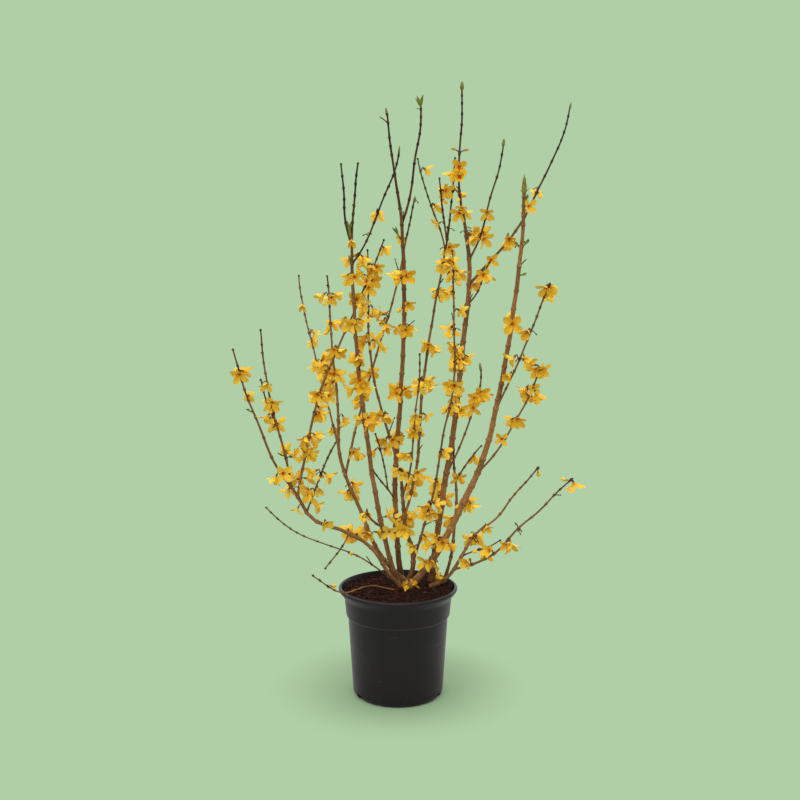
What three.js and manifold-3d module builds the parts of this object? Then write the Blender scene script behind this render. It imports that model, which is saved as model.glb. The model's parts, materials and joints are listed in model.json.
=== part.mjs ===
// A forsythia shrub in flower, growing in a round nursery pot.
// Millimetres, +Z up. The origin is the centre of the pot's flat underside, and -Y is the front.
//
// The shrub is a set of limbs. Each limb is a length, a thickness and the way it leans: `side` is the
// lean towards +X and `back` the lean towards +Y, in degrees from upright, read evenly from foot to tip.
// A limb that stands in the soil has a stem up to the length `stem`, and its spray grows on from there.
// A limb that springs from a stem is a spray of its own, and one that springs from a spray is fused to it.

import * as THREE from 'three';
import { mergeVertices } from 'three/addons/utils/BufferGeometryUtils.js';
import Module from 'manifold-3d';

const wasm = await Module();
wasm.setup();

const GAP = 0.3;
const DEGREE = Math.PI / 180;
const UP = new THREE.Vector3(0, 0, 1);

// ---------------------------------------------------------------- driving dimensions

const POT = {
  height: 136.5,
  foot: 50.5, // radius of the flat underside
  heel: 56.2, // radius of the wall just above the rounded foot
  heelHeight: 7,
  shoulder: 61.9, // radius of the wall under the collar
  shoulderHeight: 98,
  collar: 64.4, // radius at the collar's lower edge
  collarHeight: 103,
  neck: 66.3, // radius at the collar's top, under the rim
  neckHeight: 121.5,
  rim: 73.7, // outer radius of the rolled rim
  wall: 1.8,
  floor: 2.4,
  sides: 36,
};

const NOTCH = { count: 3, first: -146, width: 14, height: 6.5, depth: 9 };

const SOIL = {
  edge: 131.5, // height of the soil at the pot's wall
  crown: 136.7, // height of the flat mound that the stems stand on
  centre: [21, 7],
  reach: [46, 33], // half lengths of the mound's flat top
  sides: 36,
  rings: [15, 30, 44, 56],
};

const FOOT = SOIL.crown + GAP;
const FLARE = { swell: 1.3, reach: 9 };
const STEPS = 24;
const RING_SPACING = 50;
const RING_BEND = { stem: 7, spray: 14 }; // degrees that a limb may turn from ring to ring
const BEAD_SPACING = 2;

const BLOSSOM = {
  stalk: 6.5, // from the limb's surface to the blossom's heel
  petal: 12.4, // from the blossom's axis to a petal's end
  spread: 15, // half the angle that a petal's end takes
  notch: 3.2, // from the axis to where two petals part
  heel: 2.2,
  throat: 1.6,
  flare: 5.2, // how far the petals' ends stand forward of the heel
  cup: 1.4,
  stalkRadius: 0.65,
};

const BUD = { length: 14, radius: 2.7, hang: 38 };
const SPUR = { every: 170, shortest: 9, longest: 24, angle: 48, tip: 0.4 };
const CLEARANCE = 0.7;
const beads = [];
const TOUCH = 1.2; // how far blossoms of one spray may press into each other
const TRIES = 8;
const SEED = 20183;

// foot: where a stem stands on the soil, [x, y].  on, at: the limb it springs from, and how far along.
// thick: diameters, read evenly from foot to tip.  blooms: how far along the open blossoms sit, and how many.
// buds: how far along the blossoms sit that are still closed.  tip: length and radius of the leaf bud
// that ends a limb.  deal: which deal of seeded numbers turns its blossoms.
const LIMBS = [
  { name: 'centre', foot: [4, 34], stem: 225, length: 586,
    thick: [6.8, 6.5, 6, 5.6, 5.2, 5, 4.8, 3.4, 2.3, 1.5], tip: [9, 1.6], side: [-9, 0, 5, 2, -1, -9, -7],
    back: [2, 4, -3, -9], deal: 57, blooms: [[66, 1], [180, 2], [239, 2], [317, 2], [381, 2]], buds: [345] },
  { name: 'centre_fork', on: 'centre', at: 0.76, length: 163, thick: [2.6, 2.3, 1.6], tip: [13, 3],
    side: [22, 7, 10, -6], back: [10, 12] },
  { name: 'centre_side', on: 'centre', at: 0.26, length: 270, thick: [2.8, 2.6, 2.2, 1.6, 1.1],
    side: [-15, -17, -5, 0, 0], back: [-12, -10], deal: 48,
    blooms: [[29, 1], [61, 2], [155, 2], [195, 1], [215, 1], [233, 1]], buds: [254] },
  { name: 'centre_low', on: 'centre', at: 0.17, length: 53, thick: [1.7, 1.2], side: [-28, -38, -30],
    back: [-20, -16] },
  { name: 'centre_low_twig', on: 'centre_low', at: 0.36, length: 76, thick: [1.4, 1.1],
    side: [-3, -14, -16], back: [-12, -8], deal: 8, blooms: [[53, 2]] },

  { name: 'left', foot: [0, 8], stem: 195, length: 519, thick: [6, 5.5, 5.4, 5.1, 4.6, 4, 3.6, 2, 1.4],
    side: [-19, -9, -7, -4, 0, 9], back: [-4, -9, -10, -7], deal: 16,
    blooms: [[85, 1], [211, 2], [254, 3], [294, 2], [335, 2], [389, 2]] },
  { name: 'left_fork', on: 'left', at: 0.82, length: 97, thick: [2.6, 1.9, 1.3], side: [-22, 0, -9],
    back: [8, 12] },
  { name: 'left_reach', on: 'left', at: 0.78, length: 145, thick: [1.6, 1.5, 1.2], tip: [8, 1.2],
    side: [39, 21, 25, 6], back: [-14, -8], deal: 1, blooms: [[12, 1], [65, 1]] },

  { name: 'outer', foot: [8, 19], stem: 160, length: 417, thick: [5.4, 4.6, 4.3, 4, 3, 2.5, 2, 1.4],
    side: [-54, -23, -26, 0, -7, -4, -5], back: [10, 16, 14, 10], deal: 20,
    blooms: [[83, 1], [133, 2], [284, 2], [319, 1], [353, 1], [390, 2], [402, 1]], buds: [225] },
  { name: 'outer_whip', on: 'outer', at: 0.44, length: 255, thick: [2.1, 1.9, 1.6, 1.2],
    side: [-16, -16, -17, -6], back: [26, 20], deal: 37, blooms: [[76, 1], [127, 2], [170, 1]], buds: [38] },
  { name: 'outer_reach', on: 'outer', at: 0.37, length: 368, thick: [2.9, 2.6, 2.3, 2.1, 1.8, 1.3],
    tip: [8, 1.2], side: [12, 15, 18, 12, 11], back: [8, 4, 6], deal: 22,
    blooms: [[32, 1], [135, 2], [209, 1], [266, 2]] },

  { name: 'low', foot: [4, -9], stem: 212, bend: 98, length: 378,
    thick: [4.6, 4.2, 4, 4, 2.8, 2.2, 1.7, 1.3], side: [-45, -27, -56, -72, -24, -36, -15, -22, -15, -11],
    back: [-6, -14, -12, -8], deal: 7, blooms: [[93, 2], [217, 2], [348, 2]] },
  { name: 'low_inner', on: 'low', at: 0.52, length: 201, thick: [2.5, 2.1, 1.6, 1.1],
    side: [-4, -13, -8, 0], back: [-20, -14], deal: 28, blooms: [[38, 1], [97, 1], [114, 2]] },
  { name: 'low_inner_twig', on: 'low_inner', at: 0.44, length: 52, thick: [1.5, 1.1],
    side: [-29, -17, -11], back: [-4, 0], buds: [17] },
  { name: 'low_reach', on: 'low', at: 0.48, length: 323, thick: [2.8, 2.8, 2.3, 2, 1.5, 1.1],
    side: [10, 12, 23, 25, 20], back: [0, 6, 4], deal: 7,
    blooms: [[52, 3], [71, 2], [102, 1], [124, 2], [157, 1], [180, 1], [213, 1], [262, 1], [287, 2]] },
  { name: 'low_spur', on: 'low', at: 0.42, length: 101, thick: [1.7, 1.4], side: [22, 19, 31],
    back: [-12, -20], deal: 10, blooms: [[24, 1], [55, 2]] },
  { name: 'low_wire', on: 'low', at: 0.26, length: 52, thick: [1.2, 1], side: [-155, -141, -141],
    back: [-30, -10] },

  { name: 'heart', foot: [10, 4], stem: 124, length: 149, thick: [6, 5.2, 4.2, 2.8],
    side: [36, -1, -21, -1, -6, -6], back: [4, 2], deal: 39, blooms: [[73, 1], [86, 1], [144, 1]] },
  { name: 'heart_cross', on: 'heart', at: 0.44, length: 63, thick: [3.6, 2.8, 1.6],
    side: [-72, -71, -54, -24], back: [-22, -14], deal: 29, blooms: [[61, 1]] },
  { name: 'heart_tall', on: 'heart', at: 0.58, length: 463,
    thick: [3.3, 3.2, 3.2, 2.9, 2.4, 2.1, 1.8, 1.2], side: [20, 3, 7, 12, 8, 3], back: [10, 14, 8],
    deal: 37, blooms: [[53, 1], [109, 1], [166, 2], [218, 2], [290, 1], [326, 1], [420, 1]],
    buds: [32, 446] },
  { name: 'heart_tall_fork', on: 'heart_tall', at: 0.77, length: 78, thick: [2, 1.7, 1.2],
    side: [-11, -7, -5], back: [-6, -8], deal: 55, blooms: [[60, 1]] },
  { name: 'heart_tall_twig', on: 'heart_tall', at: 0.74, length: 127, thick: [1.6, 1.4, 1.1],
    side: [-10, -22, -16, -13], back: [16, 12], deal: 53, blooms: [[61, 1]] },
  { name: 'heart_thin', on: 'heart', at: 0.77, length: 187, thick: [2, 1.8, 1.4, 1.1],
    side: [19, 3, 7, -2], back: [-12, -16], deal: 4, blooms: [[88, 2], [153, 1]] },
  { name: 'heart_front', on: 'heart', at: 0.2, length: 393, thick: [2.8, 2.6, 2.1, 1.9, 1.8, 1.5, 1.1],
    side: [17, 15, 7, 13, -1, -2, -3], back: [-8, -10, -6], deal: 5,
    blooms: [[33, 1], [68, 1], [80, 1], [233, 1], [261, 1], [300, 1], [343, 1], [366, 1], [377, 2]],
    buds: [112, 147, 203, 278] },

  { name: 'high', foot: [42, 21], stem: 262, length: 625,
    thick: [7.8, 7.3, 6.9, 6.4, 5.9, 5.8, 4.6, 2.4, 1.9, 1.3], tip: [10, 2.6],
    side: [6, 9, 9, 5, 7, -13, 4, -1], back: [3, 6, 4, 0], deal: 54,
    blooms: [[51, 1], [103, 2], [220, 1], [235, 1], [284, 2], [434, 1], [463, 2], [514, 1]], buds: [485] },
  { name: 'high_fork', on: 'high', at: 0.65, length: 153, thick: [2.3, 1.9, 1.5, 1.1], tip: [9, 2],
    side: [31, 12, 16, 4], back: [-12, -10], deal: 28, blooms: [[29, 2]], buds: [61] },
  { name: 'high_arch', on: 'high', at: 0.6, length: 279, thick: [3, 2.8, 2.2, 1.7, 1.3], tip: [8, 1.4],
    side: [44, 41, 26, 26, 9], back: [12, 16, 10], deal: 36, blooms: [[23, 1], [74, 1]], buds: [125, 149] },
  { name: 'high_twig', on: 'high', at: 0.56, length: 61, thick: [1.6, 1.2], side: [49, 16, 27],
    back: [-12, -10], deal: 59, blooms: [[42, 1]] },
  { name: 'high_inner', on: 'high', at: 0.22, length: 151, thick: [2.2, 1.9, 1.8, 1.2], tip: [11, 1.9],
    side: [31, 22, 20, -9], back: [14, 20], deal: 27, blooms: [[87, 1], [107, 2]] },

  { name: 'back', foot: [56, 8], stem: 118, length: 186, thick: [3.6, 3.4, 3.2, 2.6, 1.5],
    side: [25, 6, 6, -8, 5], back: [12, 14], deal: 34, blooms: [[80, 1], [133, 1]] },
  { name: 'back_twig', on: 'back', at: 0.7, length: 56, thick: [1.8, 1.3], side: [33, 44], back: [16, 16],
    buds: [9] },

  { name: 'right', foot: [16, -5], stem: 262, length: 525, thick: [8.6, 7.9, 7.2, 6, 5.2, 4.8, 4.2, 3],
    tip: [22, 3], side: [41, 27, 23, 12, 8, 7, 3, -1], back: [-4, -9, -10, -4], deal: 13,
    blooms: [[44, 1], [71, 1], [127, 2], [355, 2]] },
  { name: 'right_outer', on: 'right', at: 0.48, length: 166, thick: [2, 1.6, 1.3], side: [24, 20, 19, 18],
    back: [-20, -16], deal: 30, blooms: [[68, 2], [160, 3]] },
  { name: 'right_low', on: 'right', at: 0.32, length: 153, thick: [2.1, 1.8, 1.4], side: [49, 34, 29, 20],
    back: [12, 18], deal: 19, blooms: [[81, 2], [121, 2], [149, 3]] },

  { name: 'side', foot: [45, -1], stem: 62, length: 201, thick: [4.2, 3.6, 2.5, 1.8, 1.3],
    side: [72, 31, 31, 60, 34, 47, 41], back: [8, 12, 14], deal: 33, blooms: [[81, 1]], buds: [97, 197] },
  { name: 'side_twig', on: 'side', at: 0.25, length: 55, thick: [1.3, 1], side: [58, 73, 50],
    back: [-14, -10], buds: [24] },
  { name: 'side_far', on: 'side', at: 0.16, length: 196, thick: [2.7, 2.4, 1.8, 1.2],
    side: [75, 61, 34, 46, 37, 47], back: [-14, -16], deal: 57,
    blooms: [[23, 1], [55, 1], [82, 1], [191, 1]] },

  { name: 'wire', foot: [-9, 25], stem: 0, length: 192, thick: [1.6, 1.3, 1.1, 1],
    side: [-50, -62, -77, -73, -59, -42], back: [12, 18, 12], buds: [62] },
  { name: 'trailing', foot: [-7, -19], stem: 0, length: 109, thick: [1.4, 1.2, 1],
    side: [-72, -68, -99, -109, -64, -49, -57], back: [-24, -22, -6, 0], buds: [84] },
];

// ---------------------------------------------------------------- materials

function finish(color, roughness) {
  return new THREE.MeshStandardMaterial({ color, roughness, metalness: 0 });
}

const MATERIALS = {
  pot: finish(0x2c2c2d, 0.42),
  soil: finish(0x3a1f17, 0.95),
  bark: finish(0x7c5238, 0.75),
  spray: finish(0xe6ab1c, 0.6),
};

// ---------------------------------------------------------------- solids

// The closed solid of a geometry whose shared corners are merged.
function solidOf(geometry) {
  const bare = geometry.clone();
  bare.deleteAttribute('normal');
  bare.deleteAttribute('uv');
  const merged = mergeVertices(bare, 1e-4);
  return new wasm.Manifold(new wasm.Mesh({
    numProp: 3,
    vertProperties: merged.attributes.position.array,
    triVerts: new Uint32Array(merged.index.array),
  }));
}

function geometryOf(solid) {
  const { vertProperties, triVerts } = solid.getMesh();
  const geometry = new THREE.BufferGeometry();
  geometry.setAttribute('position', new THREE.BufferAttribute(vertProperties, 3));
  geometry.setIndex(new THREE.BufferAttribute(triVerts, 1));
  geometry.computeVertexNormals();
  return geometry;
}

// Joins closed pieces into one body: sealed hollows are filled and loose scraps dropped.
function fuse(geometries) {
  const joined = wasm.Manifold.union(geometries.map(solidOf));
  const bodies = joined.decompose().sort((a, b) => b.volume() - a.volume());
  return geometryOf(bodies[0].simplify(0.01));
}

function addMesh(group, name, geometry, material) {
  const mesh = new THREE.Mesh(geometry, material);
  mesh.name = name;
  group.add(mesh);
}

// ---------------------------------------------------------------- pot and soil

// The wall's outer line, from the underside up and over the rolled rim.
function potOutside() {
  const { foot, heel, heelHeight, shoulder, shoulderHeight, collar, collarHeight } = POT;
  const { neck, neckHeight, rim, height } = POT;
  const heelArc = [30, 62].map((a) => [
    foot + (heel - foot) * Math.sin(a * DEGREE),
    heelHeight * (1 - Math.cos(a * DEGREE)),
  ]);
  return [
    [foot, 0], ...heelArc, [heel, heelHeight],
    [shoulder, shoulderHeight], [collar, collarHeight], [neck, neckHeight],
    [rim - 5.8, neckHeight + 3.6], [rim - 1.4, neckHeight + 9.4], [rim, height - 2.4],
    [rim - 1, height],
  ];
}

// The wall's inner line, from the rim's top down to the floor.
function potInside() {
  const { heel, heelHeight, shoulder, shoulderHeight, collar, collarHeight } = POT;
  const { neck, neckHeight, rim, wall, height, floor } = POT;
  return [
    [rim - 3.4, height - 0.4], [rim - 5, neckHeight + 9.5], [neck - wall, neckHeight],
    [collar - wall, collarHeight + 0.5],
    [shoulder - wall, shoulderHeight], [heel - wall, heelHeight + 1], [heel - 5, floor],
  ];
}

function turned(profile, sides) {
  const points = profile.map(([x, y]) => new THREE.Vector2(x, y));
  return new THREE.LatheGeometry(points, sides).rotateX(Math.PI / 2);
}

// The pot, with drainage notches cut through the corner of its foot.
function potGeometry() {
  let pot = solidOf(turned([[0, 0], ...potOutside(), ...potInside(), [0, POT.floor]], POT.sides));
  for (let i = 0; i < NOTCH.count; i++) {
    const angle = (NOTCH.first + (i * 360) / NOTCH.count) * DEGREE;
    const notch = new THREE.BoxGeometry(NOTCH.depth, NOTCH.width, 2 * NOTCH.height)
      .translate(POT.heel, 0, 0)
      .rotateZ(angle);
    pot = pot.subtract(solidOf(notch));
  }
  return geometryOf(pot);
}

// The soil's height: a flat mound where the stems stand, sloping to the edge at the wall.
function soilHeight(x, y) {
  const out = Math.hypot((x - SOIL.centre[0]) / SOIL.reach[0], (y - SOIL.centre[1]) / SOIL.reach[1]);
  const rise = 1 - THREE.MathUtils.smoothstep(out, 1, 1.75);
  return SOIL.edge + (SOIL.crown - SOIL.edge) * rise;
}

// The soil fills the pot up to its edge, and its top is raised to the mound.
function soilGeometry() {
  const wallLine = potInside().map(([x, y]) => [x - GAP, y]);
  const inner = wallLine.filter(([, y]) => y < SOIL.edge - 2).reverse();
  const edge = [inner.at(-1)[0] + 3.8, SOIL.edge];
  inner[0] = [inner[0][0], POT.floor + GAP];
  const rings = SOIL.rings.map((r) => [r, SOIL.edge]).reverse();
  const profile = [[0, inner[0][1]], ...inner, edge, ...rings, [0, SOIL.edge]];
  const soil = turned(profile, SOIL.sides);
  const place = soil.attributes.position;
  for (let i = 0; i < place.count; i++) {
    const [x, y, z] = [place.getX(i), place.getY(i), place.getZ(i)];
    const inward = Math.hypot(x, y) < edge[0] - 1;
    if (inward && z > SOIL.edge - 0.01) place.setZ(i, soilHeight(x, y));
  }
  return soil;
}

// ---------------------------------------------------------------- limbs

// A run of numbers that can be drawn again in the same order.
function seededRandom(seed) {
  let state = seed;
  return () => {
    state = (state * 1664525 + 1013904223) % 4294967296;
    return state / 4294967296;
  };
}

// Reads a short list of values spread evenly from 0 to 1.
function spread(values, s) {
  const x = THREE.MathUtils.clamp(s, 0, 1) * (values.length - 1);
  const i = Math.min(Math.floor(x), values.length - 2);
  return values[i] + (values[i + 1] - values[i]) * (x - i);
}

// The direction of a limb, and the two directions across it.
function frameAt(limb, s) {
  const side = spread(limb.side, s) * DEGREE;
  const back = spread(limb.back, s) * DEGREE;
  const along = new THREE.Vector3(
    Math.sin(side) * Math.cos(back), Math.sin(back), Math.cos(side) * Math.cos(back));
  const across = new THREE.Vector3(Math.cos(side), 0, -Math.sin(side));
  return { along, across, over: along.clone().cross(across) };
}

function layPath(limb, start) {
  limb.points = [start];
  const step = limb.length / STEPS;
  for (let i = 0; i < STEPS; i++) {
    const { along } = frameAt(limb, (i + 0.5) / STEPS);
    limb.points.push(limb.points[i].clone().addScaledVector(along, step));
  }
}

function pointAt(limb, distance) {
  const x = THREE.MathUtils.clamp(distance / limb.length, 0, 1) * STEPS;
  const i = Math.min(Math.floor(x), STEPS - 1);
  return limb.points[i].clone().lerp(limb.points[i + 1], x - i);
}

function radiusAt(limb, distance) {
  const flare = limb.foot && limb.stem ? FLARE.swell * Math.exp(-distance / FLARE.reach) : 0;
  return spread(limb.thick, distance / limb.length) / 2 + flare;
}

// The name of the solid that a limb belongs to at a distance along it.
function ownerAt(limb, distance) {
  if (distance < limb.bend) return `stem_${limb.name}`;
  if (distance < limb.stem) return limb.bend ? `bough_${limb.name}` : `stem_${limb.name}`;
  return `spray_${limb.root.name}`;
}

// Lays each limb's course, and finds which spray it is fused to.
function layLimbs() {
  const byName = new Map(LIMBS.map((limb) => [limb.name, limb]));
  LIMBS.forEach((limb, index) => {
    const parent = byName.get(limb.on);
    limb.stem ??= 0;
    limb.bend ??= 0;
    limb.deal ??= 0;
    limb.blooms ??= [];
    limb.random = seededRandom(SEED + index * 101 + limb.deal * 977);
    limb.root = limb;
    limb.start = 0;
    if (!parent) {
      layPath(limb, new THREE.Vector3(...limb.foot, FOOT));
      return;
    }
    const joint = limb.at * parent.length;
    layPath(limb, pointAt(parent, joint));
    if (joint >= parent.stem) limb.root = parent.root;
    else limb.start = clearOf(parent, joint, limb);
  });
}

// The balls that the limbs fill, gathered by the solid they belong to.
function threadBeads() {
  for (const limb of LIMBS) {
    for (let distance = limb.start; distance <= limb.length; distance += BEAD_SPACING) {
      const owner = ownerAt(limb, distance);
      const string = beads.find((other) => other.owner === owner) ?? { owner, balls: [] };
      if (!string.balls.length) beads.push(string);
      string.balls.push({ centre: pointAt(limb, distance), radius: radiusAt(limb, distance) });
    }
  }
}

function sidesOf(limb) {
  return limb.thick[0] > 4 ? 8 : limb.thick[0] > 2.2 ? 5 : 4;
}

// A many-sided limb's mean half width as a share of its radius.
function flatness(limb) {
  return (1 + Math.cos(Math.PI / sidesOf(limb))) / 2;
}

// How far along a limb must start for its cut end to stand clear of the stem it springs from.
function clearOf(parent, joint, limb) {
  for (let start = 0; ; start += 0.2) {
    const end = pointAt(limb, start);
    const { along } = frameAt(limb, start / limb.length);
    let space = Infinity;
    for (let distance = Math.max(joint - 40, 0); distance < joint + 40; distance += 0.5) {
      const toward = pointAt(parent, distance).sub(end);
      const reach = toward.length();
      const tilt = Math.sqrt(Math.max(0, 1 - (toward.dot(along) / reach) ** 2));
      const width = flatness(limb) * radiusAt(limb, start) * tilt;
      space = Math.min(space, reach - radiusAt(parent, distance) - width);
    }
    if (space >= GAP) return start;
  }
}

// The rings that a stretch of a limb needs: closer where it turns.
function ringsBetween(limb, from, to) {
  let turning = 0;
  for (let i = 0; i < STEPS; i++) {
    const [s, next] = [i, i + 1].map((j) => (from + ((to - from) * j) / STEPS) / limb.length);
    turning += frameAt(limb, s).along.angleTo(frameAt(limb, next).along) / DEGREE;
  }
  const most = to <= limb.stem ? RING_BEND.stem : RING_BEND.spray;
  return Math.ceil(Math.max(2, (to - from) / RING_SPACING, turning / most));
}

// A tapering limb between two distances, its rings set along its course.
function limbGeometry(limb, from, to) {
  const rings = ringsBetween(limb, from, to);
  const tube = new THREE.CylinderGeometry(1, 1, 1, sidesOf(limb), rings, false);
  const place = tube.attributes.position;
  for (let i = 0; i < place.count; i++) {
    const distance = from + (to - from) * (place.getY(i) + 0.5);
    const { along, across, over } = frameAt(limb, distance / limb.length);
    const radius = radiusAt(limb, distance);
    const point = pointAt(limb, distance)
      .addScaledVector(across, place.getX(i) * radius)
      .addScaledVector(over, -place.getZ(i) * radius);
    if (limb.foot && distance < 1) point.addScaledVector(along, (FOOT - point.z) / along.z);
    place.setXYZ(i, point.x, point.y, point.z);
  }
  return tube;
}

// ---------------------------------------------------------------- blossoms, buds and spurs

// A straight three-sided twig between two points.
function twigGeometry(from, to, foot, tip) {
  const line = to.clone().sub(from);
  const turn = new THREE.Quaternion().setFromUnitVectors(new THREE.Vector3(0, 1, 0), line.clone().normalize());
  return new THREE.CylinderGeometry(tip, foot, line.length(), 3, 1, false)
    .translate(0, line.length() / 2, 0)
    .applyQuaternion(turn)
    .translate(...from);
}

// A closed blossom: four petals about the axis, their ends flared forward of the heel.
function blossomGeometry({ heel, face, first, second, size }) {
  const ball = new THREE.SphereGeometry(1, 12, 2);
  const place = ball.attributes.position;
  for (let i = 0; i < place.count; i++) {
    const height = place.getY(i);
    let [radius, forward, angle] = [0, -Math.sign(height) * BLOSSOM.throat, 0];
    if (height > 0.5) forward = -BLOSSOM.heel;
    if (Math.abs(height) < 0.5) {
      const corner = Math.round(Math.atan2(place.getZ(i), place.getX(i)) / (30 * DEGREE)) + 12;
      const petal = Math.floor(corner / 3) * 90 + 45;
      const kind = corner % 3;
      radius = kind ? BLOSSOM.petal : BLOSSOM.notch;
      forward = kind ? BLOSSOM.flare : BLOSSOM.cup;
      angle = (kind ? petal + (kind === 1 ? -1 : 1) * BLOSSOM.spread : petal - 45) * DEGREE;
    }
    const point = heel.clone()
      .addScaledVector(first, Math.cos(angle) * radius * size)
      .addScaledVector(second, Math.sin(angle) * radius * size)
      .addScaledVector(face, forward * size);
    place.setXYZ(i, point.x, point.y, point.z);
  }
  return ball;
}

// A spindle from one point along a direction, widest a little past its middle.
function spindleGeometry(from, way, length, radius) {
  const turn = new THREE.Quaternion().setFromUnitVectors(new THREE.Vector3(0, 1, 0), way);
  const spindle = new THREE.SphereGeometry(1, 4, 2);
  const place = spindle.attributes.position;
  for (let i = 0; i < place.count; i++) {
    const height = [0, 0.55, 1][Math.round(place.getY(i)) + 1];
    place.setXYZ(i, place.getX(i) * radius, height * length, place.getZ(i) * radius);
  }
  return spindle.applyQuaternion(turn).translate(...from);
}

// The balls that a blossom fills: its heel, and two along each petal.
function blossomBalls({ heel, face, first, second, size }) {
  const balls = [{ centre: heel.clone().addScaledVector(face, size), radius: 3.4 * size }];
  for (let petal = 0; petal < 4; petal++) {
    const angle = (petal * 90 + 45) * DEGREE;
    const out = first.clone().multiplyScalar(Math.cos(angle)).addScaledVector(second, Math.sin(angle));
    for (const [reach, forward, radius] of [[5.2, 2, 2.8], [9.6, 4.2, 3.8]]) {
      const centre = heel.clone().addScaledVector(out, reach * size).addScaledVector(face, forward * size);
      balls.push({ centre, radius: radius * size });
    }
  }
  return balls;
}

// The space between two sets of balls.
function spaceBetween(balls, others) {
  let space = Infinity;
  for (const a of balls) {
    for (const b of others) {
      space = Math.min(space, a.centre.distanceTo(b.centre) - a.radius - b.radius);
    }
  }
  return space;
}

// Whether balls stand clear of the pot and soil, of every other solid's limbs, and of what grows already.
function standsClear(balls, owner, grown) {
  const low = ({ centre, radius }) => centre.z - radius < POT.height + CLEARANCE
    && Math.hypot(centre.x, centre.y) < POT.rim + radius;
  if (balls.some(low)) return false;
  return [...beads, ...grown].every((other) => spaceBetween(balls, other.balls)
    > (other.owner !== owner ? CLEARANCE : other.limb ? -TOUCH : -Infinity));
}

// One blossom at a distance along a limb, turned about the limb until it stands clear.
function blossomAt(limb, distance, turn, owner, grown) {
  const { across, over } = frameAt(limb, distance / limb.length);
  const root = pointAt(limb, distance);
  const radius = radiusAt(limb, distance);
  const lean = 12 + 54 * limb.random();
  const spin = 20 * (limb.random() - 0.5) * DEGREE;
  const size = 0.86 + 0.24 * limb.random();
  for (let i = 0; i < TRIES; i++) {
    const droop = (i < TRIES / 2 ? lean : lean / 3) * DEGREE;
    const angle = (turn + i * 45) * DEGREE;
    const out = across.clone().multiplyScalar(Math.cos(angle)).addScaledVector(over, Math.sin(angle));
    const face = out.clone().multiplyScalar(Math.cos(droop)).addScaledVector(UP, -Math.sin(droop)).normalize();
    const level = new THREE.Vector3(-face.y, face.x, 0.001).normalize();
    const upright = face.clone().cross(level);
    const first = level.clone().multiplyScalar(Math.cos(spin)).addScaledVector(upright, Math.sin(spin));
    const second = face.clone().cross(first);
    const heel = root.clone()
      .addScaledVector(out, radius + BLOSSOM.stalk)
      .addScaledVector(UP, -1.5);
    const blossom = { limb, distance, owner, root, out, radius, heel, face, first, second, size };
    blossom.balls = blossomBalls(blossom);
    if (standsClear(blossom.balls, owner, grown)) return blossom;
  }
  return null;
}

// The blossoms of a limb: pairs stand opposite, and each cluster is turned from the last.
// Low on a stem each cluster is a sprig of its own, whose blossoms share one side.
function growBlossoms(limb, grown) {
  let turn = 360 * limb.random();
  limb.blooms.forEach(([distance, count], cluster) => {
    turn += 90 + 40 * (limb.random() - 0.5);
    const sprig = distance < limb.stem;
    const owner = sprig ? `sprig_${limb.name}_${cluster + 1}` : ownerAt(limb, distance);
    for (let i = 0; i < count; i++) {
      const angle = turn + (sprig ? i * 62 : i * 180 + (i > 1 ? 90 : 0));
      const place = Math.min(distance + (i > 1 ? 5 : 0), limb.length - 1);
      const blossom = blossomAt(limb, place, angle, owner, grown);
      const apart = sprig && i > 0 && blossom && !grown.some((other) => other.owner === owner
        && other.out.angleTo(blossom.out) < 75 * DEGREE);
      if (blossom && !apart) grown.push(blossom);
    }
  });
}

// A closed blossom that hangs from a limb, turned about the limb until it stands clear.
function growBuds(limb, grown) {
  for (const distance of limb.buds ?? []) {
    const owner = ownerAt(limb, distance);
    const { across, over } = frameAt(limb, distance / limb.length);
    const root = pointAt(limb, distance);
    const turn = 360 * limb.random();
    const length = BUD.length * (0.8 + 0.3 * limb.random());
    for (let i = 0; i < TRIES; i++) {
      const angle = (turn + i * 45) * DEGREE;
      const out = across.clone().multiplyScalar(Math.cos(angle)).addScaledVector(over, Math.sin(angle));
      const way = out.addScaledVector(UP, -Math.tan(BUD.hang * DEGREE)).normalize();
      const balls = [0.4, 0.7, 0.95].map((s) => ({
        centre: root.clone().addScaledVector(way, s * length), radius: BUD.radius * (1.3 - s) }));
      const clear = standsClear(balls, owner, grown);
      if (clear) grown.push({ limb, distance, owner, root, way, length, balls });
      if (clear) break;
    }
  }
}

// Short bare twigs along a spray, at a seeded distance, side and length.
function growSpurs(limb, grown) {
  const first = Math.max(limb.stem, limb.start) + 14;
  const count = Math.floor((limb.length - first) / SPUR.every);
  for (let i = 0; i < count; i++) {
    const distance = first + (i + limb.random()) * SPUR.every;
    const length = SPUR.shortest + (SPUR.longest - SPUR.shortest) * limb.random();
    const { along, across, over } = frameAt(limb, distance / limb.length);
    const angle = 360 * limb.random() * DEGREE;
    const out = across.clone().multiplyScalar(Math.cos(angle)).addScaledVector(over, Math.sin(angle));
    const lean = SPUR.angle * DEGREE;
    const way = along.clone().multiplyScalar(Math.cos(lean)).addScaledVector(out, Math.sin(lean));
    const root = pointAt(limb, distance);
    const tip = root.clone().addScaledVector(way, length);
    const owner = ownerAt(limb, distance);
    const balls = [0.4, 0.6, 0.8, 1].map((s) => ({ centre: root.clone().lerp(tip, s), radius: 1.2 }));
    if (standsClear(balls, owner, grown)) grown.push({ limb, distance, owner, root, tip, balls });
  }
}

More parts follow.
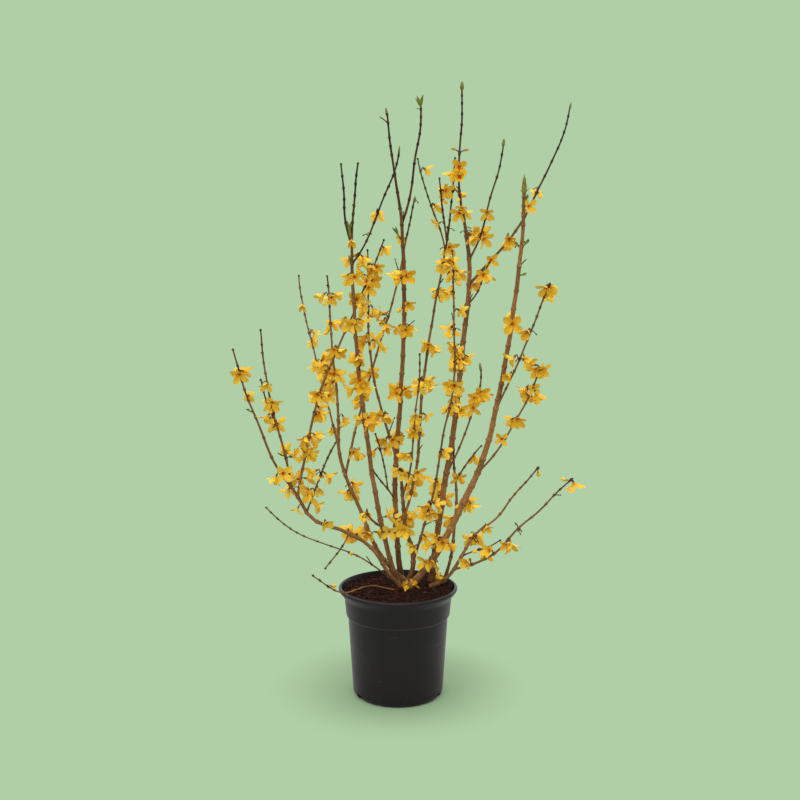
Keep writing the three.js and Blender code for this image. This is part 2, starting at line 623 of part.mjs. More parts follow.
// The pieces that a grown blossom or spur adds to its solid.
function grownPieces({ limb, distance, root, tip, way, length, out, radius, heel, ...blossom }) {
  if (tip) return [twigGeometry(root, tip, 0.75 * radiusAt(limb, distance), SPUR.tip)];
  if (way) return [spindleGeometry(root, way, length, BUD.radius)];
  const sprig = distance < limb.stem;
  const foot = sprig ? root.clone().addScaledVector(out, radius + GAP + 0.5) : root;
  const width = sprig ? BLOSSOM.stalkRadius : Math.min(BLOSSOM.stalkRadius, 0.75 * radius);
  const stalk = twigGeometry(foot, heel, width, BLOSSOM.stalkRadius);
  return [stalk, blossomGeometry({ heel, ...blossom })];
}

// The knuckle low on a stem that a sprig's stalks share.
function knuckleGeometry(blossoms) {
  const feet = blossoms.map(({ root, out, radius }) => root.clone().addScaledVector(out, radius + GAP + 1.4));
  const middle = feet.reduce((sum, foot) => sum.add(foot), new THREE.Vector3()).divideScalar(feet.length);
  const out = middle.clone().sub(blossoms[0].root).normalize();
  const from = blossoms[0].root.clone().addScaledVector(out, blossoms[0].radius + GAP + 0.2);
  return twigGeometry(from, from.clone().addScaledVector(out, 3), 1.9, 1.2);
}

// ---------------------------------------------------------------- assembly

function buildShrub(group) {
  layLimbs();
  threadBeads();
  const grown = [];
  LIMBS.forEach((limb) => growBlossoms(limb, grown));
  LIMBS.forEach((limb) => growBuds(limb, grown));
  LIMBS.forEach((limb) => growSpurs(limb, grown));
  const pieces = new Map();
  const add = (owner, geometry) => pieces.set(owner, [...(pieces.get(owner) ?? []), geometry]);
  for (const limb of LIMBS) {
    const { name, stem, bend, start, length } = limb;
    const [budLength, budRadius] = limb.tip ?? [0, 0];
    if (bend) add(`stem_${name}`, limbGeometry(limb, 0, bend - GAP));
    if (stem) add(ownerAt(limb, stem - 1), limbGeometry(limb, bend, stem - GAP));
    add(ownerAt(limb, length), limbGeometry(limb, Math.max(stem, start), length - 0.6 * budLength));
    if (!budLength) continue;
    const from = pointAt(limb, length - budLength);
    const way = pointAt(limb, length).sub(from).normalize();
    add(ownerAt(limb, length), spindleGeometry(from, way, budLength, budRadius));
  }
  for (const piece of grown) {
    grownPieces(piece).forEach((geometry) => add(piece.owner, geometry));
  }
  for (const owner of [...pieces.keys()].filter((name) => name.startsWith('sprig_'))) {
    add(owner, knuckleGeometry(grown.filter((piece) => piece.owner === owner)));
  }
  for (const [owner, geometries] of pieces) {
    const woody = owner.startsWith('stem_') || owner.startsWith('bough_');
    addMesh(group, owner, fuse(geometries), woody ? MATERIALS.bark : MATERIALS.spray);
  }
}

const shrub = new THREE.Group();
addMesh(shrub, 'pot', potGeometry(), MATERIALS.pot);
addMesh(shrub, 'potting_soil', soilGeometry(), MATERIALS.soil);
buildShrub(shrub);

export default shrub;
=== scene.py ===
"""A forsythia shrub in flower, in a round nursery pot: the looks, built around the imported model.

The plant's rule is kept in millimetres, as in the part's source, and every mesh is made in metres.
The origin is the centre of the pot's flat underside, +Z is up and -Y is the front.
"""

import json
import logging
import math
from collections.abc import Sequence
from dataclasses import dataclass, field
from enum import Enum
from functools import cache
from typing import ClassVar

import bpy
import numpy as np
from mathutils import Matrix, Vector, noise

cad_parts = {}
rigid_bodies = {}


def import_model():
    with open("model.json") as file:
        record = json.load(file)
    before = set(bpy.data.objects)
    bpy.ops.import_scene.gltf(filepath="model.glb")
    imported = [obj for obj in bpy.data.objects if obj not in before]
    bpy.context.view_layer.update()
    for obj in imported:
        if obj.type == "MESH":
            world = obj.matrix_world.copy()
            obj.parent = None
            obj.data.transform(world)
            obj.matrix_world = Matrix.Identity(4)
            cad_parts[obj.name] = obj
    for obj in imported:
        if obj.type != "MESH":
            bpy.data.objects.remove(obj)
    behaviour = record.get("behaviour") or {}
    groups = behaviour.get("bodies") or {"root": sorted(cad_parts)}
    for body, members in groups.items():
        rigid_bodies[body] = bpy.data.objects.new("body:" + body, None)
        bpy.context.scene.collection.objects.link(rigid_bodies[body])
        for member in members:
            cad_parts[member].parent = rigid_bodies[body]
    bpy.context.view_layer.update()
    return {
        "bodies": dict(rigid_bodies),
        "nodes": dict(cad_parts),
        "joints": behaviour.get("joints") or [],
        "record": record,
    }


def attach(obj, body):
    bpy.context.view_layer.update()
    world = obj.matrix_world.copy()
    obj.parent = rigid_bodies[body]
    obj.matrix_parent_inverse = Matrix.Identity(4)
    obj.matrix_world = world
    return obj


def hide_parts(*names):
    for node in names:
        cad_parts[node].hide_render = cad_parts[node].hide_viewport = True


LOG = logging.getLogger("forsythia")
MM = 0.001
DEGREE = math.pi / 180
UP = np.array([0.0, 0.0, 1.0])
Array = np.ndarray


class Slot(str, Enum):
    """The record's material slots."""

    POT = "pot"
    SOIL = "soil"
    BARK = "bark"
    SPRAY = "spray"


class Tip(Enum):
    """How a limb ends."""

    BLUNT = "a short bare end between two scales"
    SPEAR = "a slim pointed leaf bud"
    FAT_SPEAR = "a large pointed leaf bud with side scales"
    LEAFLETS = "an open tuft of young leaves"


class Tone(Enum):
    """The bark's tones, from old wood to the thinnest twig."""

    PALE = 0
    TAN = 1
    BROWN = 2
    DARK = 3
    PURPLE = 4


# ---------------------------------------------------------------- the seeded rule, as in the source

GAP = 0.3
POT_HEIGHT = 136.5
POT_RIM = 73.7
SOIL_EDGE = 131.5
SOIL_CROWN = 136.7
SOIL_CENTRE = (21.0, 7.0)
SOIL_REACH = (46.0, 33.0)
FOOT = SOIL_CROWN + GAP
FLARE_SWELL = 1.3
FLARE_REACH = 9.0
STEPS = 24
BEAD_SPACING = 2.0
STALK = 6.5
BUD_LENGTH = 14.0
BUD_RADIUS = 2.7
BUD_HANG = 38.0
SPUR_EVERY = 170.0
SPUR_SHORTEST = 9.0
SPUR_LONGEST = 24.0
SPUR_ANGLE = 48.0
CLEARANCE = 0.7
TOUCH = 1.2
TRIES = 8
TRY_TURN = 45
PETAL_TURNS = (45, 135, 225, 315)
BLOOM_DROOP = (12.0, 66.0)
BLOOM_SPIN = 20.0
BLOOM_SIZES = 0.24
HEEL_DROP = 1.5
FAR_APART = 60.0
SEED = 20183


class SeededRun:
    """A run of numbers that can be drawn again in the same order."""

    def __init__(self, seed: int) -> None:
        """Starts the run at a seed."""
        self.state = seed

    def draw(self) -> float:
        """Gives the next number, from 0 to 1."""
        self.state = (self.state * 1664525 + 1013904223) % 4294967296
        return self.state / 4294967296

    def between(self, low: float, high: float) -> float:
        """Gives the next number between two bounds."""
        return low + (high - low) * self.draw()


def unit(vector: Array) -> Array:
    """Gives a vector's direction."""
    return vector / np.linalg.norm(vector)


def turned(first: Array, second: Array, degrees: float) -> Array:
    """Gives the direction at an angle from one direction towards another."""
    return first * math.cos(degrees * DEGREE) + second * math.sin(degrees * DEGREE)


def spread(values: Sequence[float], s: float | Array) -> float | Array:
    """Reads a short list of values spread evenly from 0 to 1."""
    return np.interp(np.clip(s, 0, 1) * (len(values) - 1), range(len(values)), values)


@dataclass
class Limb:
    """One limb: its length, its thickness and the way it leans, read evenly from foot to tip.

    A limb with a foot stands in the soil and has a stem up to `stem`; the others spring from `on` at the
    share `at` of its length. Blooms are distances and counts, buds distances of closed blossoms, and `deal`
    picks the seeded numbers that turn them. More blossoms, which the solids leave out, are distances and
    turns. The leaf bud that ends it has a length and a radius. The bark darkens over the last `dark`
    millimetres, and is paler on wood of a greater `age`.
    """

    name: str
    length: float
    thick: tuple[float, ...]
    side: tuple[float, ...]
    back: tuple[float, ...]
    foot: tuple[float, float] | None = None
    on: str = ""
    at: float = 0.0
    stem: float = 0.0
    bend: float = 0.0
    deal: int = 0
    blooms: tuple[tuple[float, int], ...] = ()
    more: tuple[tuple[int, int], ...] = ()
    buds: tuple[float, ...] = ()
    tip: Tip = Tip.BLUNT
    bud: tuple[float, float] = (0.0, 0.0)
    dark: float = 45.0
    age: float = 0.0
    root: "Limb | None" = field(default=None, repr=False)
    start: float = 0.0
    points: Array = field(default=None, repr=False)
    run: SeededRun = field(default=None, repr=False)
    fine: SeededRun = field(default=None, repr=False)

    def frame(self, distance: float | Array) -> tuple[Array, Array, Array]:
        """Gives the limb's direction and the two directions across it.

        Args:
            distance: how far along the limb, one or many.

        Returns:
            The directions along, across and over.
        """
        s = np.asarray(distance) / self.length
        side, back = spread(self.side, s) * DEGREE, spread(self.back, s) * DEGREE
        along = np.stack([np.sin(side) * np.cos(back), np.sin(back), np.cos(side) * np.cos(back)], -1)
        across = np.stack([np.cos(side), 0 * side, -np.sin(side)], -1)
        return along, across, np.cross(along, across)

    def lay(self, start: Array) -> None:
        """Lays the limb's course from its first point."""
        ways = self.frame((np.arange(STEPS) + 0.5) / STEPS * self.length)[0]
        steps = np.cumsum(ways * (self.length / STEPS), axis=0)
        self.points = np.vstack([start, start + steps])

    def point(self, distance: float | Array) -> Array:
        """Gives the points at distances along the limb."""
        x = np.clip(np.asarray(distance) / self.length, 0, 1) * STEPS
        return np.stack([np.interp(x, range(STEPS + 1), self.points[:, k]) for k in range(3)], -1)

    def radius(self, distance: float | Array) -> float | Array:
        """Gives the limb's radius at distances along it."""
        flare = FLARE_SWELL * np.exp(-np.maximum(distance, 0) / FLARE_REACH)
        half = spread(self.thick, np.asarray(distance) / self.length) / 2
        return half + (flare if self.foot and self.stem else 0)

    def owner(self, distance: float) -> str:
        """Names the solid that the limb belongs to at a distance along it."""
        if distance < self.bend:
            return f"stem_{self.name}"
        if distance < self.stem:
            return f"bough_{self.name}" if self.bend else f"stem_{self.name}"
        return f"spray_{self.root.name}"

    def around(self, distance: float, degrees: float) -> Array:
        """Gives the direction out of the limb's side at an angle round it."""
        _, across, over = self.frame(distance)
        return turned(across, over, degrees)


def make_limbs() -> list[Limb]:
    """Lists the shrub's limbs in the order that their seeds are dealt in."""
    return [
        Limb("centre", 586, (6.8, 6.5, 6, 5.6, 5.2, 5, 4.8, 3.4, 2.3, 1.5), (-9, 0, 5, 2, -1, -9, -7),
             (2, 4, -3, -9), foot=(4, 34), stem=225, deal=57, blooms=((66, 1), (180, 2), (239, 2), (317, 2),
             (381, 2)), more=((233, 240), (239, 300), (314, 90), (347, 300), (377, 120), (314, 240),
             (185, 0), (236, 90)), buds=(345,), tip=Tip.SPEAR, bud=(9, 1.6), dark=190),
        Limb("centre_fork", 163, (2.6, 2.3, 1.6), (22, 7, 10, -6), (10, 12), on="centre", at=0.76,
             tip=Tip.LEAFLETS, bud=(13, 3), dark=170, age=-0.9),
        Limb("centre_side", 270, (2.8, 2.6, 2.2, 1.6, 1.1), (-15, -17, -5, 0, 0), (-12, -10), on="centre",
             at=0.26, deal=48, blooms=((29, 1), (61, 2), (155, 2), (195, 1), (215, 1), (233, 1)),
             more=((27, 90), (27, 150), (63, 240), (165, 240), (198, 330), (252, 120)), buds=(254,)),
        Limb("centre_low", 53, (1.7, 1.2), (-28, -38, -30), (-20, -16), on="centre", at=0.17),
        Limb("centre_low_twig", 76, (1.4, 1.1), (-3, -14, -16), (-12, -8), on="centre_low", at=0.36, deal=8,
             blooms=((53, 2),)),
        Limb("left", 519, (6, 5.5, 5.4, 5.1, 4.6, 4, 3.6, 2, 1.4), (-19, -9, -7, -4, 0, 9),
             (-4, -9, -10, -7), foot=(0, 8), stem=195, deal=16, blooms=((85, 1), (211, 2), (254, 3),
             (294, 2), (335, 2), (389, 2)), more=((212, 0), (218, 300), (242, 90), (263, 90), (335, 270),
             (407, 120), (431, 270), (263, 120), (266, 270)), dark=130),
        Limb("left_fork", 97, (2.6, 1.9, 1.3), (-22, 0, -9), (8, 12), on="left", at=0.82, dark=110,
             age=-0.9),
        Limb("left_reach", 145, (1.6, 1.5, 1.2), (39, 21, 25, 6), (-14, -8), on="left", at=0.78, deal=1,
             blooms=((12, 1), (65, 1)), tip=Tip.SPEAR, bud=(8, 1.2), dark=150, age=-0.5),
        Limb("outer", 417, (5.4, 4.6, 4.3, 4, 3, 2.5, 2, 1.4), (-54, -23, -26, 0, -7, -4, -5),
             (10, 16, 14, 10), foot=(8, 19), stem=160, deal=20, blooms=((83, 1), (133, 2), (284, 2),
             (319, 1), (353, 1), (390, 2), (402, 1)), more=((71, 30), (74, 270), (128, 90), (140, 60),
             (230, 30), (275, 90), (284, 270), (311, 120), (314, 30), (386, 90), (386, 300), (299, 120),
             (131, 120)), buds=(225,)),
        Limb("outer_whip", 255, (2.1, 1.9, 1.6, 1.2), (-16, -16, -17, -6), (26, 20), on="outer", at=0.44,
             deal=37, blooms=((76, 1), (127, 2), (170, 1)), more=((35, 90), (77, 300), (92, 300), (161, 90),
             (209, 270)), buds=(38,)),
        Limb("outer_reach", 368, (2.9, 2.6, 2.3, 2.1, 1.8, 1.3), (12, 15, 18, 12, 11), (8, 4, 6),
             on="outer", at=0.37, deal=22, blooms=((32, 1), (135, 2), (209, 1), (266, 2)), more=((30, 300),
             (93, 120), (171, 60), (204, 120), (309, 240), (198, 270)), tip=Tip.SPEAR, bud=(8, 1.2),
             dark=90),
        Limb("low", 378, (4.6, 4.2, 4, 4, 2.8, 2.2, 1.7, 1.3),
             (-45, -27, -56, -72, -24, -36, -15, -22, -15, -11), (-6, -14, -12, -8), foot=(4, -9), stem=212,
             bend=98, deal=7, blooms=((93, 2), (217, 2), (348, 2)), more=((86, 90), (317, 90), (347, 60),
             (98, 90), (192, 0), (168, 210), (132, 300))),
        Limb("low_inner", 201, (2.5, 2.1, 1.6, 1.1), (-4, -13, -8, 0), (-20, -14), on="low", at=0.52,
             deal=28, blooms=((38, 1), (97, 1), (114, 2)), more=((44, 90), (80, 90), (137, 270), (80, 120)),
             age=0.1),
        Limb("low_inner_twig", 52, (1.5, 1.1), (-29, -17, -11), (-4, 0), on="low_inner", at=0.44,
             more=((17, 300),), buds=(17,)),
        Limb("low_reach", 323, (2.8, 2.8, 2.3, 2, 1.5, 1.1), (10, 12, 23, 25, 20), (0, 6, 4), on="low",
             at=0.48, deal=7, blooms=((52, 3), (71, 2), (102, 1), (124, 2), (157, 1), (180, 1), (213, 1),
             (262, 1), (287, 2)), more=((18, 120), (21, 210), (57, 300), (75, 0), (99, 60), (108, 60),
             (120, 120), (216, 90), (240, 330), (243, 210), (267, 90), (273, 60), (288, 300), (312, 60),
             (150, 120), (99, 30))),
        Limb("low_spur", 101, (1.7, 1.4), (22, 19, 31), (-12, -20), on="low", at=0.42, deal=10,
             blooms=((24, 1), (55, 2)), more=((12, 300), (30, 180), (36, 300))),
        Limb("low_wire", 52, (1.2, 1), (-155, -141, -141), (-30, -10), on="low", at=0.26),
        Limb("heart", 149, (6, 5.2, 4.2, 2.8), (36, -1, -21, -1, -6, -6), (4, 2), foot=(10, 4), stem=124,
             deal=39, blooms=((73, 1), (86, 1), (144, 1)), more=((71, 30), (83, 30), (86, 60))),
        Limb("heart_cross", 63, (3.6, 2.8, 1.6), (-72, -71, -54, -24), (-22, -14), on="heart", at=0.44,
             deal=29, blooms=((61, 1),), more=((27, 30),)),
        Limb("heart_tall", 463, (3.3, 3.2, 3.2, 2.9, 2.4, 2.1, 1.8, 1.2), (20, 3, 7, 12, 8, 3), (10, 14, 8),
             on="heart", at=0.58, deal=37, blooms=((53, 1), (109, 1), (166, 2), (218, 2), (290, 1),
             (326, 1), (420, 1)), more=((33, 90), (48, 90), (129, 30), (174, 60), (213, 0), (216, 30),
             (288, 90), (345, 300), (417, 0), (57, 240), (345, 30)), buds=(32, 446), dark=190),
        Limb("heart_tall_fork", 78, (2, 1.7, 1.2), (-11, -7, -5), (-6, -8), on="heart_tall", at=0.77,
             deal=55, blooms=((60, 1),), more=((20, 180), (59, 60)), dark=90),
        Limb("heart_tall_twig", 127, (1.6, 1.4, 1.1), (-10, -22, -16, -13), (16, 12), on="heart_tall",
             at=0.74, deal=53, blooms=((61, 1),), more=((110, 30),), dark=110),
        Limb("heart_thin", 187, (2, 1.8, 1.4, 1.1), (19, 3, 7, -2), (-12, -16), on="heart", at=0.77, deal=4,
             blooms=((88, 2), (153, 1)), more=((29, 240), (53, 180), (56, 240), (110, 270), (140, 90),
             (152, 330))),
        Limb("heart_front", 393, (2.8, 2.6, 2.1, 1.9, 1.8, 1.5, 1.1), (17, 15, 7, 13, -1, -2, -3),
             (-8, -10, -6), on="heart", at=0.2, deal=5, blooms=((33, 1), (68, 1), (80, 1), (233, 1),
             (261, 1), (300, 1), (343, 1), (366, 1), (377, 2)), more=((21, 240), (69, 270), (78, 30),
             (102, 90), (147, 60), (234, 240), (249, 90), (321, 30), (342, 120), (366, 90), (381, 240),
             (207, 60), (270, 60), (72, 300)), buds=(112, 147, 203, 278), dark=60),
        Limb("high", 625, (7.8, 7.3, 6.9, 6.4, 5.9, 5.8, 4.6, 2.4, 1.9, 1.3), (6, 9, 9, 5, 7, -13, 4, -1),
             (3, 6, 4, 0), foot=(42, 21), stem=262, deal=54, blooms=((51, 1), (103, 2), (220, 1), (235, 1),
             (284, 2), (434, 1), (463, 2), (514, 1)), more=((104, 120), (215, 300), (221, 120), (245, 90),
             (272, 90), (296, 210), (374, 300), (431, 300), (470, 270), (506, 270), (518, 270), (110, 120)),
             buds=(485,), tip=Tip.SPEAR, bud=(10, 2.6), dark=240),
        Limb("high_fork", 153, (2.3, 1.9, 1.5, 1.1), (31, 12, 16, 4), (-12, -10), on="high", at=0.65,
             deal=28, blooms=((29, 2),), more=((62, 270), (35, 60)), buds=(61,), tip=Tip.SPEAR, bud=(9, 2),
             dark=130),
        Limb("high_arch", 279, (3, 2.8, 2.2, 1.7, 1.3), (44, 41, 26, 26, 9), (12, 16, 10), on="high",
             at=0.6, deal=36, blooms=((23, 1), (74, 1)), more=((38, 270), (74, 270), (155, 90)),
             buds=(125, 149), tip=Tip.SPEAR, bud=(8, 1.4), dark=170, age=-0.6),
        Limb("high_twig", 61, (1.6, 1.2), (49, 16, 27), (-12, -10), on="high", at=0.56, deal=59,
             blooms=((42, 1),)),
        Limb("high_inner", 151, (2.2, 1.9, 1.8, 1.2), (31, 22, 20, -9), (14, 20), on="high", at=0.22,
             deal=27, blooms=((87, 1), (107, 2)), more=((100, 240), (109, 240), (103, 270)), tip=Tip.SPEAR,
             bud=(11, 1.9)),
        Limb("back", 186, (3.6, 3.4, 3.2, 2.6, 1.5), (25, 6, 6, -8, 5), (12, 14), foot=(56, 8), stem=118,
             deal=34, blooms=((80, 1), (133, 1))),
        Limb("back_twig", 56, (1.8, 1.3), (33, 44), (16, 16), on="back", at=0.7, more=((38, 60),),
             buds=(9,)),
        Limb("right", 525, (8.6, 7.9, 7.2, 6, 5.2, 4.8, 4.2, 3), (41, 27, 23, 12, 8, 7, 3, -1),
             (-4, -9, -10, -4), foot=(16, -5), stem=262, deal=13, blooms=((44, 1), (71, 1), (127, 2),
             (355, 2)), more=((38, 240), (59, 150), (68, 30), (71, 210), (128, 60), (362, 90), (488, 300),
             (122, 60)), tip=Tip.FAT_SPEAR, bud=(22, 3), age=0.5),
        Limb("right_outer", 166, (2, 1.6, 1.3), (24, 20, 19, 18), (-20, -16), on="right", at=0.48, deal=30,
             blooms=((68, 2), (160, 3)), more=((48, 150), (105, 150), (150, 60)), age=0.3),
        Limb("right_low", 153, (2.1, 1.8, 1.4), (49, 34, 29, 20), (12, 18), on="right", at=0.32, deal=19,
             blooms=((81, 2), (121, 2), (149, 3)), more=((49, 240), (79, 120), (115, 90), (124, 270),
             (148, 240), (148, 120), (121, 120)), age=0.3),
        Limb("side", 201, (4.2, 3.6, 2.5, 1.8, 1.3), (72, 31, 31, 60, 34, 47, 41), (8, 12, 14),
             foot=(45, -1), stem=62, deal=33, blooms=((81, 1),), more=((74, 90), (98, 270)), buds=(97, 197),
             age=0.2),
        Limb("side_twig", 55, (1.3, 1), (58, 73, 50), (-14, -10), on="side", at=0.25, buds=(24,)),
        Limb("side_far", 196, (2.7, 2.4, 1.8, 1.2), (75, 61, 34, 46, 37, 47), (-14, -16), on="side",
             at=0.16, deal=57, blooms=((23, 1), (55, 1), (82, 1), (191, 1)), more=((42, 90), (78, 270)),
             age=0.2),
        Limb("wire", 192, (1.6, 1.3, 1.1, 1), (-50, -62, -77, -73, -59, -42), (12, 18, 12), foot=(-9, 25),
             buds=(62,)),
        Limb("trailing", 109, (1.4, 1.2, 1), (-72, -68, -99, -109, -64, -49, -57), (-24, -22, -6, 0),
             foot=(-7, -19), buds=(84,)),
    ]


@dataclass
class Balls:
    """Balls that stand for what a shape fills."""

    centres: Array
    radii: Array

    def space(self, others: "Balls") -> Array:
        """Gives the least space from any of these balls to each of the others."""
        reach = np.linalg.norm(self.centres[:, None] - others.centres[None], axis=2)
        return (reach - self.radii[:, None] - others.radii[None]).min(axis=0)


@dataclass
class Blossom:
    """One open blossom: where it grows and how its face is turned."""

    limb: Limb
    distance: float
    owner: str
    root: Array
    out: Array
    radius: float
    heel: Array
    face: Array
    first: Array
    size: float
    balls: Balls
    run: SeededRun


@dataclass
class Bud:
    """One blossom that is still closed, hanging along `way`."""

    limb: Limb
    owner: str
    root: Array
    way: Array
    length: float
    balls: Balls


@dataclass
class Spur:
    """One short bare twig from a limb."""

    limb: Limb
    distance: float
    owner: str
    root: Array
    tip: Array
    balls: Balls


class Shrub:
    """The shrub's limbs, and what the seeded rule grows on them."""

    def __init__(self) -> None:
        """Lays the limbs and grows everything that the solids have."""
        self.limbs = make_limbs()
        self.by_name = {limb.name: limb for limb in self.limbs}
        self.lay_limbs()
        self.thread_beads()
        self.grown: list[Blossom | Bud | Spur] = []
        for limb in self.limbs:
            self.grow_blossoms(limb)
        for limb in self.limbs:
            self.grow_buds(limb)
        for limb in self.limbs:
            self.grow_spurs(limb)

    def lay_limbs(self) -> None:
        """Lays each limb's course, and finds which spray it is fused to."""
        for index, limb in enumerate(self.limbs):
            limb.run = SeededRun(SEED + index * 101 + limb.deal * 977)
            limb.fine = SeededRun(SEED * 3 + index * 211)
            limb.root = limb
            if not limb.on:
                limb.lay(np.array([*limb.foot, FOOT]))
                continue
            parent = self.by_name[limb.on]
            joint = limb.at * parent.length
            limb.lay(parent.point(joint))
            if joint >= parent.stem:
                limb.root = parent.root
            else:
                limb.start = self.clear_of(parent, joint, limb)

    @staticmethod
    def clear_of(parent: Limb, joint: float, limb: Limb) -> float:
        """Finds how far along a limb must start to stand clear of the stem that it springs from."""
        distances = np.arange(max(joint - 40, 0), joint + 40, 0.5)
        course, radii = parent.point(distances), parent.radius(distances)
        sides = 8 if limb.thick[0] > 4 else 5 if limb.thick[0] > 2.2 else 4
        flatness = (1 + math.cos(math.pi / sides)) / 2
        start = 0.0
        while True:
            toward = course - limb.point(start)
            reach = np.maximum(np.linalg.norm(toward, axis=1), 1e-9)
            tilt = np.sqrt(np.maximum(0, 1 - (toward @ limb.frame(start)[0] / reach) ** 2))
            if (reach - radii - flatness * limb.radius(start) * tilt).min() >= GAP:
                return start
            start += 0.2

    def thread_beads(self) -> None:
        """Strings balls along the limbs, each with the solid that it belongs to."""
        centres, radii, self.bead_owners = [], [], []
        for limb in self.limbs:
            distances = np.arange(limb.start, limb.length + 1e-9, BEAD_SPACING)
            centres.append(limb.point(distances))
            radii.append(limb.radius(distances))
            self.bead_owners += [limb.owner(distance) for distance in distances]
        self.beads = Balls(np.vstack(centres), np.concatenate(radii))
        self.bead_owners = np.array(self.bead_owners)

    def stands_clear(self, balls: Balls, owner: str, clearance: float = CLEARANCE,
                     touch: float = TOUCH) -> bool:
        """Tells whether balls stand clear of the pot, of other limbs and of what grows already.

        Args:
            balls: the balls to place.
            owner: the solid that they belong to.
            clearance: the least space to another solid.
            touch: how far the balls may press into others of their own solid.

        Returns:
            True where there is room.
        """
        x, y, z = balls.centres.T
        if ((z - balls.radii < POT_HEIGHT + CLEARANCE) & (np.hypot(x, y) < POT_RIM + balls.radii)).any():
            return False
        if (balls.space(self.beads)[self.bead_owners != owner] <= clearance).any():
            return False
        for other in self.grown:
            if np.abs(other.balls.centres[0] - balls.centres[0]).max() > FAR_APART:
                continue
            if balls.space(other.balls).min() <= (clearance if other.owner != owner else -touch):
                return False
        return True

    def blossom_at(self, limb: Limb, distance: float, turn: float, owner: str, run: SeededRun,
                   least: float = 0.86, room: tuple[float, float] = (CLEARANCE, TOUCH)) -> Blossom | None:
        """Finds one blossom's place, turned about the limb until it stands clear.

        Args:
            limb: the limb that it grows on.
            distance: how far along.
            turn: the angle round the limb that is tried first.
            owner: the solid that it belongs to.
            run: where its seeded numbers come from.
            least: the smallest size, as a share of a full blossom.
            room: the clearance and touch that it keeps.

        Returns:
            The blossom, or None where there is no room.
        """
        root, radius = limb.point(distance), float(limb.radius(distance))
        lean, spin = run.between(*BLOOM_DROOP), BLOOM_SPIN * (run.draw() - 0.5)
        size = least + BLOOM_SIZES * run.draw()
        for i in range(TRIES):
            out = limb.around(distance, turn + i * TRY_TURN)
            face = unit(turned(out, -UP, lean if i < TRIES / 2 else lean / 3))
            level = unit(np.array([-face[1], face[0], 0.001]))
            first = turned(level, np.cross(face, level), spin)
            heel = root + out * (radius + STALK) - UP * HEEL_DROP
            balls = self.blossom_balls(heel, face, first, size)
            if self.stands_clear(balls, owner, *room):
                return Blossom(limb, distance, owner, root, out, radius, heel, face, first, size, balls,
                               limb.fine if run is limb.run else run)
        return None

    @staticmethod
    def blossom_balls(heel: Array, face: Array, first: Array, size: float) -> Balls:
        """Gives the balls that a blossom fills: its heel, and two along each petal."""
        centres, radii = [heel + face * size], [3.4 * size]
        for angle in PETAL_TURNS:
            out = turned(first, np.cross(face, first), angle)
            for reach, forward, radius in ((5.2, 2, 2.8), (9.6, 4.2, 3.8)):
                centres.append(heel + out * reach * size + face * forward * size)
                radii.append(radius * size)
        return Balls(np.array(centres), np.array(radii))

    def grow_blossoms(self, limb: Limb) -> None:
        """Grows a limb's blossoms: pairs stand opposite, and each cluster is turned from the last."""
        turn = 360 * limb.run.draw()
        for cluster, (distance, count) in enumerate(limb.blooms):
            turn += 90 + 40 * (limb.run.draw() - 0.5)
            sprig = distance < limb.stem
            owner = f"sprig_{limb.name}_{cluster + 1}" if sprig else limb.owner(distance)
            for i in range(count):
                angle = turn + (i * 62 if sprig else i * 180 + (90 if i > 1 else 0))
                place = min(distance + (5 if i > 1 else 0), limb.length - 1)
                blossom = self.blossom_at(limb, place, angle, owner, limb.run)
                if blossom is None:
                    continue
                mates = [other for other in self.grown if other.owner == owner]
                apart = sprig and i > 0 and not any(
                    math.acos(min(1.0, float(other.out @ blossom.out))) < 75 * DEGREE for other in mates)
                if not apart:
                    self.grown.append(blossom)

    def grow_buds(self, limb: Limb) -> None:
        """Grows a limb's closed blossoms, each turned about the limb until it stands clear."""
        for distance in limb.buds:
            owner, root = limb.owner(distance), limb.point(distance)
            turn = 360 * limb.run.draw()
            length = BUD_LENGTH * (0.8 + 0.3 * limb.run.draw())
            for i in range(TRIES):
                way = unit(limb.around(distance, turn + i * TRY_TURN) - UP * math.tan(BUD_HANG * DEGREE))
                shares = np.array([0.4, 0.7, 0.95])
                balls = Balls(root + np.outer(shares, way) * length, BUD_RADIUS * (1.3 - shares))
                if self.stands_clear(balls, owner):
                    self.grown.append(Bud(limb, owner, root, way, length, balls))
                    break

    def grow_spurs(self, limb: Limb) -> None:
        """Grows short bare twigs along a spray, at a seeded distance, side and length."""
        first = max(limb.stem, limb.start) + 14
        for i in range(max(0, math.floor((limb.length - first) / SPUR_EVERY))):
            distance = first + (i + limb.run.draw()) * SPUR_EVERY
            length = SPUR_SHORTEST + (SPUR_LONGEST - SPUR_SHORTEST) * limb.run.draw()
            out = limb.around(distance, 360 * limb.run.draw())
            way = turned(limb.frame(distance)[0], out, SPUR_ANGLE)
            root, owner = limb.point(distance), limb.owner(distance)
            balls = Balls(root + np.outer([0.4, 0.6, 0.8, 1], way) * length, np.full(4, 1.2))
            if self.stands_clear(balls, owner):
                self.grown.append(Spur(limb, distance, owner, root, root + way * length, balls))

    def of_kind(self, kind: type) -> list:
        """Lists what has grown of one kind."""
        return [each for each in self.grown if isinstance(each, kind)]


# ---------------------------------------------------------------- joined meshes


